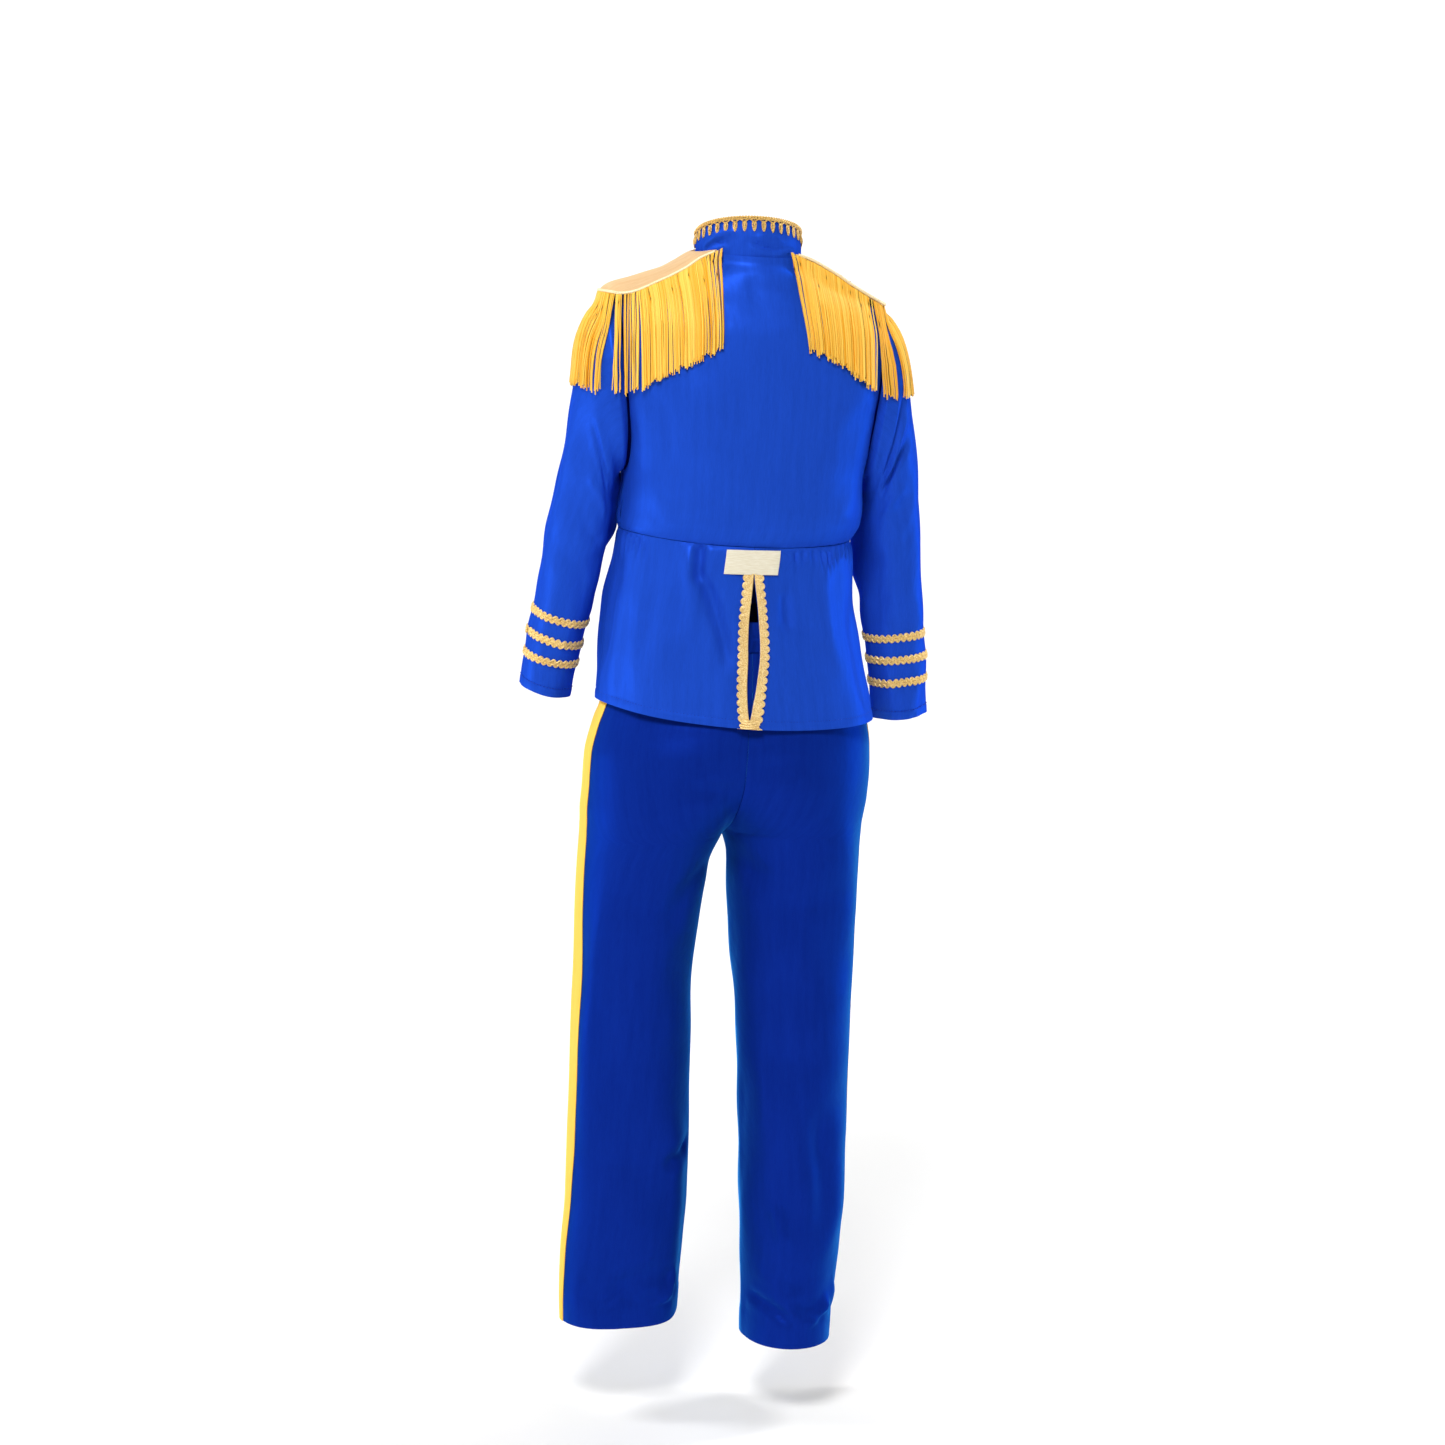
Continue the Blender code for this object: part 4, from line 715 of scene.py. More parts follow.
# Vent braid. Gold gimp down both edges of the vent: a straight cord along the slit and scallops of
# wound loops on the outer side, gathered into a stub over the hem.
vent_gimp = gimp_yarn("vent_gimp", "#ffe6a6", "#dbac5c")
BRAID = {"top": -309.0, "bottom": -455.0, "pitch": 7.6, "wide": 4.3, "thick": 1.7}


def vent_braid(word, side):
    steps = 160
    z = np.linspace(BRAID["top"], BRAID["bottom"], steps)
    rows, _ = peplum_at(np.full(steps, 12.0), z)
    gap = VENT(rows)["half_gap"]
    line = VENT_LINE(rows)["turn"]
    run = np.concatenate(([0.0], np.cumsum(np.abs(np.diff(z)))))
    # Straight cords by distance from the slit and height, then rows of three loops, outer one first.
    paths = [np.stack((run, np.full(steps, offset), np.full(steps, height)), axis=-1)
             for offset, height in ((0.8, 2.0), (2.2, 1.3), (3.5, 1.3))]
    count = int(run[-1] / BRAID["pitch"])
    bow = np.linspace(-math.pi / 2, math.pi / 2, 11)
    for k in range(count):
        middle = (k + 0.5) * run[-1] / count
        for reach, arch in ((BRAID["wide"], 0.16), (2.8, 0.4), (1.3, 0.4)):
            tall = BRAID["pitch"] / 2 * (0.25 + 0.75 * reach / BRAID["wide"]) * 0.93
            paths.append(np.stack((middle + tall * np.sin(bow), 3.9 + reach * np.cos(bow),
                                   1.2 + arch * np.cos(bow)), axis=-1))
    flat, faces = cord_mesh(paths, BRAID["thick"])
    row = np.interp(flat[:, 0], run, rows)
    off = side * (np.interp(flat[:, 0], run, gap) + flat[:, 1]) / PER_DEGREE["vent"]
    placed = peplum_place(row, np.interp(flat[:, 0], run, line) + off, flat[:, 2])
    trim_piece("vent_gimp_" + word, placed, faces, vent_gimp, ["vent_braid_" + word])


vent_braid("left", 1)
vent_braid("right", -1)

# The stub: both braids turned over the hem together and stitched down.
STUB = {"top": -452.5, "bottom": -463.0, "thick": 2.6}
# Its cords from the top down: share of the height and half the width.
STUB_CORDS = ((0.0, 6.0), (0.22, 8.0), (0.45, 9.8), (0.68, 9.0), (0.9, 10.5), (1.0, 12.0))
stub_paths = []
for height, half in STUB_CORDS:
    t = np.linspace(-1.0, 1.0, 15)
    z = STUB["top"] + (STUB["bottom"] - STUB["top"]) * height
    stub_paths.append(np.stack((half * t, z + 1.4 * t * t, 2.6 - 1.2 * t * t), axis=-1))
points, faces = cord_mesh(stub_paths, STUB["thick"])
middle_x = float(peplum(np.array(0.97), VENT_LINE(np.array(0.97))["turn"])[0])
down, turn = peplum_at(middle_x + points[:, 0], points[:, 1])
placed = peplum_place(np.clip(down, 0.0, 1.0), turn, points[:, 2])
trim_piece("vent_stub", placed, faces, vent_gimp, ["vent_end"])


# Sleeves. One piece of satin each, set in round the armhole, straight to the wrist, with drag lines
# at the underarm and soft breaks above and below the elbow.
SLEEVE_LEFT = section(("ring", "top_x", "top_z", "low_x", "low_z", "mid_y", "half_deep", "lean"), [
    (1, 147, -47, 128.0, -213.5, -1, 46.5, 0),
    (2, 160, -63, 129.8, -217, -3, 45.5, 1),
    (3, 169, -89, 131.0, -225, -6, 43.5, 2),
    (4, 173, -130, 131.8, -237, -10, 41, 3),
    (5, 179, -180, 132.8, -255, -15, 38, 4),
    (6, 188, -225, 135.0, -276, -21, 35.5, 6),
    (7, 197, -270, 140.0, -302, -28, 33.5, 8),
    (8, 203, -312, 147.0, -333, -35, 32, 9),
    (9, 209, -352, 155.5, -365, -42, 30, 10),
    (10, 213.5, -374, 160.5, -386.5, -46, 29, 10),
    (11, 217, -395, 165.0, -405.5, -50, 28.5, 10),
    (12, 221.5, -428, 171.5, -440, -56, 28.5, 10),
])
SLEEVE_RIGHT = section(("ring", "top_x", "top_z", "low_x", "low_z", "mid_y", "half_deep", "lean"), [
    (1, -141, -65, -119.0, -225.5, -1, 46.5, 0),
    (2, -152, -81, -120.0, -229, -3, 45.5, 0),
    (3, -161, -106, -120.5, -235, -6, 43.5, 1),
    (4, -168, -143, -121.0, -246, -10, 41, 1),
    (5, -174, -188, -121.0, -262, -14, 38.5, 2),
    (6, -178.5, -234, -121.0, -284, -19, 36, 2),
    (7, -182.5, -280, -121.5, -308, -24, 34, 3),
    (8, -186, -324, -123.5, -342, -29, 32.5, 4),
    (9, -189, -382, -128.0, -387, -33, 31, 4),
    (10, -190.5, -406, -131.0, -409, -35, 30, 4),
    (11, -192, -429, -134.5, -433, -37, 29.5, 4),
    (12, -194, -466, -138.0, -471, -40, 29, 4),
])
# Creases by turn round the sleeve (0 outer, 90 back, 180 inner, 270 front) and distance from the
# shoulder: from, to, bow, width and height, all in millimetres with a turn counted as 0.7 mm.
LEFT_CREASES = [
    (118, 96, 66, 70, 5, 7, -2.2),
    (122, 122, 72, 110, 6, 8, 1.8),
    (124, 150, 76, 146, -5, 9, -1.8),
    (112, 205, 50, 188, 6, 13, -1.6),
    (108, 262, 44, 284, -6, 12, 1.6),
    (118, 300, 62, 312, 4, 10, -1.4),
    (30, 60, 22, 170, 5, 18, 1.4),
    (70, 330, 74, 392, 3, 9, -1.3),
    (206, 18, 206, 160, 0, 24, 12.5),
    (20, 330, 16, 392, 3, 10, 1.2),
    (130, 344, 84, 336, 3, 5, -1.0),
    (96, 352, 52, 358, 3, 5, 0.9),
]
RIGHT_CREASES = [
    (120, 62, 46, 40, 7, 6, -2.8),
    (124, 84, 58, 78, 8, 6, -2.4),
    (122, 73, 54, 58, 7, 6, 2.2),
    (124, 112, 66, 116, 6, 8, 1.8),
    (120, 140, 56, 158, -6, 12, -1.6),
    (112, 210, 44, 230, 6, 14, 1.6),
    (118, 286, 60, 300, -6, 11, -1.6),
    (34, 130, 26, 260, -5, 18, 1.4),
    (74, 335, 70, 400, 3, 9, -1.5),
    (204, 58, 204, 200, 0, 24, 9.5),
    (20, 340, 14, 400, 3, 10, 1.3),
    (128, 352, 80, 346, 3, 5, -1.0),
    (92, 362, 48, 356, -3, 5, 0.9),
]
ELBOW_HALF = 30.0
# Deep soft folds at the elbow: ring, turn, half the width in degrees, half the length in rings, how
# deep they are, and how they slant.
ELBOW_FOLDS = [
    (4.6, 120.0, 26.0, 0.55, 2.6, 10.0),
    (6.2, 75.0, 24.0, 0.5, 2.4, -14.0),
    (7.3, 120.0, 28.0, 0.4, 2.0, 12.0),
    (6.6, 265.0, 30.0, 0.5, 2.6, 8.0),
    (5.0, 300.0, 26.0, 0.5, 2.0, -8.0),
]


def make_sleeve(table, side):
    """Surface of a sleeve by ring and turn: ring 0 is the armhole, 1 to 12 are the table's rows."""
    def armhole_point(turn_on):
        row = UNDERARM + (TIP - UNDERARM) * (1 + np.cos(np.radians(turn_on))) / 2
        return bodice(row, side * (90.0 - ARMHOLE_DEPTH * np.sin(np.radians(turn_on))))

    def ring_point(ring, turn_on):
        s = table(ring)
        zero = np.zeros_like(s["top_x"])
        top = np.stack((s["top_x"], zero, s["top_z"]), axis=-1)
        low = np.stack((s["low_x"], zero, s["low_z"]), axis=-1)
        lean = np.radians(s["lean"])
        deep = np.stack((zero, np.cos(lean), -np.sin(lean)), axis=-1) * s["half_deep"][..., None]
        centre = 0.5 * (top + low) + np.stack((zero, s["mid_y"], zero), axis=-1)
        c, q = np.cos(np.radians(turn_on))[..., None], np.sin(np.radians(turn_on))[..., None]
        fold = 1.0
        for at_ring, at_turn, wide, long, deep_fold, skew in ELBOW_FOLDS:
            along = (ring - at_ring) / long
            across = (turn_on % 360.0 - at_turn - 0.5 * skew * along) / wide
            fold = fold - deep_fold / ELBOW_HALF * np.exp(-across ** 2 - along ** 2)
        return centre + (0.5 * (top - low) * c + deep * q) * fold[..., None]

    def surface(ring, turn_on):
        ring, turn_on = np.broadcast_arrays(np.asarray(ring, dtype=float), np.asarray(turn_on, dtype=float))
        share = ease(0.0, 1.0, ring)[..., None]
        share = 0.5 * share + 0.5 * np.clip(ring, 0.0, 1.0)[..., None]
        return armhole_point(turn_on) * (1 - share) + ring_point(np.maximum(ring, 1.0), turn_on) * share
    return surface


def sleeve_middle(surface, ring):
    """Middle of the sleeve at ring numbers."""
    return 0.25 * sum(surface(ring, np.full(len(ring), turn)) for turn in (0.0, 90.0, 180.0, 270.0))


def sleeve_rise(turn, down, lines, seed):
    """Height of a sleeve's creases, by turn and distance from the shoulder."""
    return creases(turn, down, lines) + ripples(turn, down, seed, 60, 1.3)


sleeves = {}
SLEEVE_TURNS = 108
CUFF_STITCH = 9.0
for word, table, side, lines, seed in (("left", SLEEVE_LEFT, 1, LEFT_CREASES, 31),
                                       ("right", SLEEVE_RIGHT, -1, RIGHT_CREASES, 37)):
    surface = make_sleeve(table, side)
    rings = np.linspace(0.0, 12.0, 241)
    runs = run_along(sleeve_middle(surface, rings))
    down = np.linspace(0.0, runs[-1], 150)[:, None]
    ring = np.interp(down, runs, rings)
    turn = np.arange(SLEEVE_TURNS)[None, :] * 360.0 / SLEEVE_TURNS
    base = surface(ring, turn)
    rise = sleeve_rise(turn, down, lines, seed)
    hem = down - (runs[-1] - CUFF_STITCH)
    rise = rise + 0.5 * ease(-0.4, 1.2, hem) - 0.4 * np.exp(-(hem / 1.2) ** 2)
    rise = rise * ease(0.0, 10.0, down) - seam_dip(down)
    middle = base.mean(axis=1, keepdims=True)
    points = base + grid_normals(base, middle, wrap=True) * rise[..., None]
    inside = middle[:-1].repeat(SLEEVE_TURNS, axis=1).reshape(-1, 3)
    sleeves[word] = (surface, rings, runs, points, middle, lines, seed)
    lay_cloth("satin_sleeve_" + word, points, inside, jacket_satin, ["sleeve_" + word],
              wrap=True)


def sleeve_place(word, down, turn, height):
    """Points that lie on a creased sleeve, by distance from the shoulder and turn."""
    surface, rings, runs, _, _, lines, seed = sleeves[word]
    ring = np.interp(down, runs, rings)
    height = height + sleeve_rise(turn, down, lines, seed)
    return place_on(surface, sleeve_middle(surface, ring), ring, turn, height, 0.03, 1.0)


# Topstitching. The turned hems of jacket and sleeves are held by a row of machine stitches in thread
# of the same blue, 8.5 mm above the jacket's edge and 9 mm above the cuffs'.
STITCH = {"pitch": 3.4, "long": 2.5, "wide": 0.8, "above_cuff": 0.1}
blue_thread = gimp_yarn("blue_thread", "#1c46be", "#0c2a86", "#2a6cf0", 0.05)


def stitch_row(name, place, line):
    """Stitches end to end along a line of parameters; place gives a point at a height above it."""
    run = run_along(place(*line, 0.0))
    first = np.arange(0.5, run[-1] - STITCH["pitch"], STITCH["pitch"])[:, None]
    t = first + STITCH["long"] * np.array((0.0, 0.25, 0.75, 1.0))[None, :]
    spots = [np.interp(t.ravel(), run, values) for values in line]
    heights = np.tile((-0.5, 0.25, 0.25, -0.5), len(first))
    paths = place(*spots, heights).reshape(len(first), 4, 3)
    points, faces = cord_mesh(paths, STITCH["wide"], 4)
    trim_piece(name, points, faces, blue_thread, [])


def hem_place(row, turn, height):
    """Points on the hem of the peplum, which stands off where the left front laps over."""
    return peplum_place(row, turn, height + closing(turn))


for name, low, high in (("stitch_hem_left", 3.4, 89.5), ("stitch_hem_left_front", 90.5, 183.0),
                        ("stitch_hem_right", -89.5, 1.0), ("stitch_hem_right_front", -179.5, -90.5)):
    turn = np.linspace(low, high, 240)
    hem = np.full(240, 1.0 - HEM_STITCH / PEPLUM_LONG)
    stitch_row(name, hem_place, (hem, turn))


def cuff_place(word, down, turn, height):
    """Points on a sleeve, a little above the cloth."""
    return sleeve_place(word, down, turn, height + STITCH["above_cuff"])


for word in ("left", "right"):
    turn = np.linspace(0.0, 360.0, 300)
    down = np.full(300, sleeves[word][2][-1] - CUFF_STITCH)
    stitch_row("stitch_cuff_" + word, partial(cuff_place, word), (down, turn))


# Cuff braids. Three rows of scroll gimp round each cuff: three wound cords side by side that wave
# together, so both edges of the braid are scalloped.
BRAID_ROWS = (9.0, 10.0, 11.0)
SCROLL = {"pitch": 6.2, "wave": 1.25, "apart": 2.35, "thick": 2.3}
for word in ("left", "right"):
    surface, rings, runs = sleeves[word][:3]
    for number, ring in enumerate(BRAID_ROWS, 1):
        marks = np.linspace(0.0, 360.0, 361)
        arc = run_along(surface(np.full(361, ring), marks))
        count = int(round(arc[-1] / SCROLL["pitch"]))
        t = np.linspace(0.0, 1.0, count * 10 + 1)
        phase = t * count * 2 * math.pi
        paths = []
        for place in (-1, 0, 1):
            height = 0.45 + 0.35 * np.cos(phase + 2.1 * place)
            paths.append(np.stack((t * arc[-1], SCROLL["apart"] * place + SCROLL["wave"] * np.sin(phase),
                                   height), axis=-1))
        flat, faces = cord_mesh(paths, SCROLL["thick"])
        turn = np.interp(flat[:, 0], arc, marks)
        down = np.interp(ring, rings, runs) + flat[:, 1]
        placed = sleeve_place(word, down, turn, flat[:, 2])
        trim_piece("cuff_gimp_%s_%d" % (word, number), placed, faces, gold_gimp,
                   ["cuff_braid_%s_%d" % (word, number)])


# Trousers. Straight-legged, of the same satin as the jacket, its colour darkened as painted shade of the
# lower body, in four panels that meet at the sides, at the inner legs and at the middle, and hang to a
# turned hem.
# The same satin as the jacket; its light and deep blues are darker only as painted shade.
trouser_satin_painted_shade = woven_satin("blue_satin_painted_shade", "#0d2c94", "#0a2686", "#38a8ff", 0.40, 0.22, 0.8)
HIPS = section(("z", "mid_x", "mid_y", "half", "off", "back", "front"), [
    (-575.0, 25.5, -10, 143.5, 71.75, 86.5, 79.5),
    (-570.0, 25.2, -10, 143.6, 69.8, 87.5, 80),
    (-560.0, 24.2, -9, 144.2, 65.2, 89.5, 81.5),
    (-544.0, 22.5, -9, 145.5, 57.0, 93, 84),
    (-520.0, 20.1, -9, 145.6, 42.3, 96, 86),
    (-493.0, 19.0, -9, 144.5, 25.2, 96.5, 87),
    (-465.0, 17.0, -9, 139.0, 11.0, 92.5, 86),
    (-441.0, 14.5, -9, 132.0, 4.0, 88, 83.5),
    (-420.0, 13.5, -9, 126.0, 0.5, 84.5, 81.5),
    (-400.0, 13.0, -9, 119.0, 0.0, 82, 79),
    (-387.0, 13.0, -9, 112.0, 0.0, 79, 77),
])
LEG_LEFT = section(("z", "mid_x", "mid_y", "half", "back", "front"), [
    (-575.0, 97.25, -10, 71.75, 86.5, 79.5),
    (-600.0, 104.5, -12, 66.5, 80.5, 75),
    (-650.0, 111.0, -14, 63.0, 71, 68),
    (-700.0, 114.5, -16, 61.5, 65, 63),
    (-750.0, 117.0, -18, 61.0, 62, 60),
    (-850.0, 119.5, -20, 61.5, 58, 56),
    (-950.0, 121.5, -22, 62.5, 54, 53),
    (-1000.0, 125.5, -23, 62.5, 52, 51),
    (-1050.0, 128.5, -24, 61.5, 51, 50),
    (-1080.0, 129.5, -25, 60.0, 50, 49),
])
LEG_RIGHT = section(("z", "mid_x", "mid_y", "half", "back", "front"), [
    (-575.0, -46.25, -10, 71.75, 86.5, 79.5),
    (-600.0, -48.0, -8, 68.0, 80.5, 75),
    (-650.0, -46.4, -4, 66.0, 72, 70),
    (-700.0, -46.2, 0, 63.0, 67, 66),
    (-750.0, -46.2, 3, 59.8, 65, 64),
    (-850.0, -45.5, 7, 55.5, 63, 62),
    (-950.0, -43.5, 10, 53.5, 62, 61),
    (-1000.0, -41.8, 11, 51.0, 63, 62),
    (-1050.0, -38.5, 12, 47.5, 63, 62),
    (-1096.0, -36.0, 13, 44.5, 64, 62),
])
CROTCH = -575.0
TROUSER_TOP = -387.3
SIDE_SEAM = section(("z", "left", "right"), [
    (-1096.0, 94.0, 99.0), (-1050.0, 92.0, 98.0), (-950.0, 86.0, 96.0), (-850.0, 80.0, 95.0),
    (-750.0, 78.0, 95.0), (-600.0, 81.0, 94.0), (-520.0, 84.0, 93.0), (-387.0, 87.0, 91.0)])
# Deep soft folds of the legs: height, turn, half the width in degrees, half the length, depth, slant.
LEG_FOLDS = [
    (-640.0, 5.0, 34.0, 16.0, 2.6, 18.0),
    (-800.0, -20.0, 36.0, 20.0, 2.4, -14.0),
    (-905.0, 25.0, 34.0, 18.0, 2.2, 16.0),
    (-1030.0, -5.0, 40.0, 14.0, 2.6, 10.0),
    (-690.0, 190.0, 40.0, 20.0, 2.4, 14.0),
    (-980.0, 170.0, 40.0, 18.0, 2.6, -12.0),
]
# Long breaks of each leg, by turn (0 back, 90 outer, 180 front, -90 inner) and height.
LEFT_LEG_CREASES = [
    (-56, -560, 7, -517, 8, 9, -2.6),
    (-60, -600, -20, -670, 10, 14, -2.4),
    (-30, -620, 20, -760, -10, 22, 1.6),
    (-30, -912, -70, -896, 0, 9, -3.0),
    (-26, -1057, -54, -1026, 6, 6, 3.2),
    (-8, -1046, 16, -1036, 0, 14, -3.6),
    (44, -640, 50, -900, 6, 14, 2.2),
    (10, -820, -30, -980, 8, 22, -2.0),
    (-40, -860, -48, -1060, -5, 14, 1.8),
    (-52, -1062, 10, -1046, 14, 11, 2.2),
    (10, -1052, 50, -1030, -8, 14, -1.8),
    (120, -640, 128, -1000, 6, 18, 2.0),
    (200, -640, 190, -1020, 6, 20, -2.4),
    (160, -1040, 210, -1060, 8, 12, 2.0),
]
RIGHT_LEG_CREASES = [
    (-56, -556, 9, -492, 8, 10, -2.6),
    (-60, -600, -18, -680, 12, 14, -2.6),
    (-40, -610, 20, -740, -8, 22, 1.6),
    (14, -856, 20, -990, 4, 16, -4.4),
    (-30, -952, -22, -988, 0, 8, 2.6),
    (-72, -1048, -6, -1071, 5, 6, -3.2),
    (6, -1071, 42, -1049, -4, 6, 3.2),
    (30, -560, 44, -700, 8, 18, 1.5),
    (12, -900, 34, -1000, -10, 18, 1.8),
    (-48, -800, -30, -1010, 6, 18, 1.8),
    (-56, -1020, 0, -1074, 10, 12, 2.0),
    (30, -1062, 62, -1040, -6, 11, 2.4),
    (-20, -1054, 34, -1066, 7, 9, -2.2),
    (120, -640, 126, -1000, 6, 18, 2.0),
    (196, -640, 188, -1020, 6, 20, -2.4),
    (160, -1040, 210, -1060, 8, 12, 2.0),
]


def make_leg(table, side):
    """Surface of a leg by height and turn; above the crotch it is that half of the hips."""
    def surface(z, turn, out=0.0):
        z, turn = np.broadcast_arrays(np.asarray(z, dtype=float), np.asarray(turn, dtype=float))
        hips, leg = HIPS(z), table(z)
        above = z > CROTCH
        mid_x = np.where(above, hips["mid_x"] + side * hips["off"], leg["mid_x"])
        mid_y = np.where(above, hips["mid_y"], leg["mid_y"])
        half = np.where(above, hips["half"] - hips["off"], leg["half"])
        back = np.where(above, hips["back"], leg["back"])
        front = np.where(above, hips["front"], leg["front"])
        fold = 0.0
        for at_z, at_turn, wide, long, deep, skew in LEG_FOLDS:
            along = (z - at_z) / long
            across = ((turn + 90.0) % 360.0 - 90.0 - at_turn - 0.5 * skew * along) / wide
            fold = fold - np.where(above, 0.0, deep) * np.exp(-across ** 2 - along ** 2)
        c, q = np.cos(np.radians(turn)), np.sin(np.radians(turn))
        x = mid_x + side * (half + fold + out) * q
        y = mid_y + (np.where(c > 0, back, front) + fold + out) * c
        return np.stack((x, y, z), axis=-1)
    return surface


def inner_turn(z):
    """Turn of the inner seam: the middle of the hips above the crotch, the inner leg below it."""
    hips = HIPS(z)
    share = np.clip(hips["off"] / (hips["half"] - hips["off"]), 0.0, 1.0)
    return np.where(z <= CROTCH, -90.0, -np.degrees(np.arcsin(share)))


LEG_FOLD = 1.25


def leg_rise(z, turn, lines, seed):
    """Height of the trousers' creases, their calm under the stripe and the shirring at the waist."""
    seat = np.where(turn > 180.0, turn - 360.0, turn)
    # The cloth lies calm under the side stripe and drops a little in front of it.
    calm = 1.0 - 0.85 * np.exp(-((seat - 85.0) / 24.0) ** 2)
    drop = 2.0 * np.exp(-((seat - 116.0) / 15.0) ** 2)
    rise = LEG_FOLD * creases(turn, z, lines) + calm * ripples(turn, z, seed, 95, 1.4) - drop
    # The elastic above shirrs the top of the hips into short uneven wrinkles.
    shirr = np.sin(seat / 1.9 + 2.0 * np.sin(z / 7.0 + seat / 9.0))
    shirr = shirr + np.sin(z / 3.1 + 1.5 * np.sin(seat / 4.0))
    return rise + (0.8 + 0.9 * np.exp(-(seat / 14.0) ** 2)) * shirr * ease(-470.0, -395.0, z)


def vent_bulge(x, y, high):
    """How far the cloth stands out at the back, where the vent bares it."""
    return np.where(y > 0, high * np.exp(-((x - 10.0) / 20.0) ** 2), 0.0)


def leg_middle(surface, z):
    """Middle of a leg at each height."""
    middle = surface(z, np.zeros_like(z))
    middle[..., 1] = 0.5 * (middle[..., 1] + surface(z, np.full_like(z, 180.0))[..., 1])
    return middle


legs = {}
LEG_HEM = 25.0
INNER_HEM_RIDE = 11.0
LEG_TURNS = 56
for word, table, side, hem_z, lines, seed in (
        ("left", LEG_LEFT, 1, -1080.0, LEFT_LEG_CREASES, 41),
        ("right", LEG_RIGHT, -1, -1096.0, RIGHT_LEG_CREASES, 43)):
    surface = make_leg(table, side)
    z = np.concatenate((np.linspace(TROUSER_TOP, CROTCH, 52)[:-1], np.linspace(CROTCH, hem_z, 130)))[:, None]
    seam = SIDE_SEAM(z)[word]
    for place in ("back", "front"):
        last = inner_turn(z) if place == "back" else 180.0 - inner_turn(z)
        gap = -0.1 if place == "back" else 0.1
        turn = (seam + gap) + (last - gap - seam - gap) * np.linspace(0.0, 1.0, LEG_TURNS)[None, :]
        base = surface(z, turn)
        rise = leg_rise(z, turn, lines, seed) * ease(0.0, 14.0, np.abs(turn - last) + 2.0)
        rise = rise + 0.5 * ease(-0.5, 1.5, hem_z + LEG_HEM - z)
        middle = leg_middle(surface, z)
        points = base + grid_normals(base, middle) * rise[..., None]
        x, y, height = (points[..., k] for k in range(3))
        points[..., 1] = y + vent_bulge(x, y, 9.0) * ease(-464.0, -425.0, height)
        # The hem of the left leg rides up at the inner seam.
        if word == "left":
            near = np.exp(-((np.minimum(np.abs(turn + 90.0), np.abs(turn - 270.0))) / 26.0) ** 2)
            points[..., 2] += INNER_HEM_RIDE * near * ease(-1010.0, -1080.0, z)
        inside = middle[:-1].repeat(LEG_TURNS - 1, axis=1).reshape(-1, 3)
        lay_cloth("satin_trouser_%s_%s" % (place, word), points, inside, trouser_satin_painted_shade,
                  ["trouser_%s_%s" % (place, word)])
    legs[word] = (surface, hem_z, lines, seed)


# Side stripes. Yellow satin ribbon sewn flat over each side seam from waistband to hem.
stripe_satin = woven_satin("yellow_satin", "#ffce60", "#fbc250", "#ffe08c", 0.5, 0.0)
STRIPE_WIDE = 25.0
STRIPE_COLUMNS = 10
for word in ("left", "right"):
    surface, hem_z, lines, seed = legs[word]
    z = np.linspace(-389.0, hem_z - 0.3, 200)[:, None]
    seam = SIDE_SEAM(z)[word]
    reach = np.linspace(-0.5, 0.5, STRIPE_COLUMNS)[None, :] * STRIPE_WIDE
    step = np.linalg.norm(surface(z, seam + 0.5) - surface(z, seam - 0.5), axis=-1)
    # On the left leg it sits a little behind the seam.
    behind = ease(-560.0, -800.0, z) * ease(-1190.0, -1000.0, z) if word == "left" else 0.0
    turn = seam + (reach - behind) / step
    middle = leg_middle(surface, z)
    rim = STRIPE_WIDE / 2 - np.abs(reach)
    rise = leg_rise(z, turn, lines, seed) + 1.1 + 0.3 * ease(0.0, 2.0, rim)
    base = surface(z, turn)
    points = base + grid_normals(base, middle) * rise[..., None]
    inside = middle[:-1].repeat(STRIPE_COLUMNS - 1, axis=1).reshape(-1, 3)
    lay_cloth("satin_stripe_" + word, points, inside, stripe_satin,
              ["side_stripe_" + word], thick=0.6)


# Waistband. The top of the trousers turned down over elastic, which shirrs it into upright ridges;
# it shows through the vent.
CASING = {"top": -357.0, "bottom": -386.7, "half": 112.0, "back": 79.0, "front": 77.0,
          "mid_x": 13.0, "mid_y": -9.0}
z = np.linspace(CASING["top"], CASING["bottom"], 22)[:, None]
turn = np.arange(360.0)[None, :]
c, q = np.cos(np.radians(turn)), np.sin(np.radians(turn))
# Share of the casing's height; a seam runs round its middle.
share = (z - CASING["bottom"]) / (CASING["top"] - CASING["bottom"])
round_turn = np.radians(turn)
ridge = np.sin(round_turn * 54 + 1.4 * np.sin(round_turn * 9) + 0.8 * np.sin(share * 5))
ridge = ridge + 1.1 * np.sin(math.pi * share) - 0.9 * np.exp(-((share - 0.5) / 0.06) ** 2)
x = CASING["mid_x"] + (CASING["half"] + ridge) * q
y = CASING["mid_y"] + (np.where(c > 0, CASING["back"], CASING["front"]) + ridge) * c
y = y + vent_bulge(x, y, 8.0)
points = np.stack(np.broadcast_arrays(x, y, z), axis=-1)
lay_cloth("satin_waistband", points, np.array((CASING["mid_x"], CASING["mid_y"], -372.0)),
          trouser_satin_painted_shade,
          ["trouser_waistband"], thick=1.2, wrap=True)


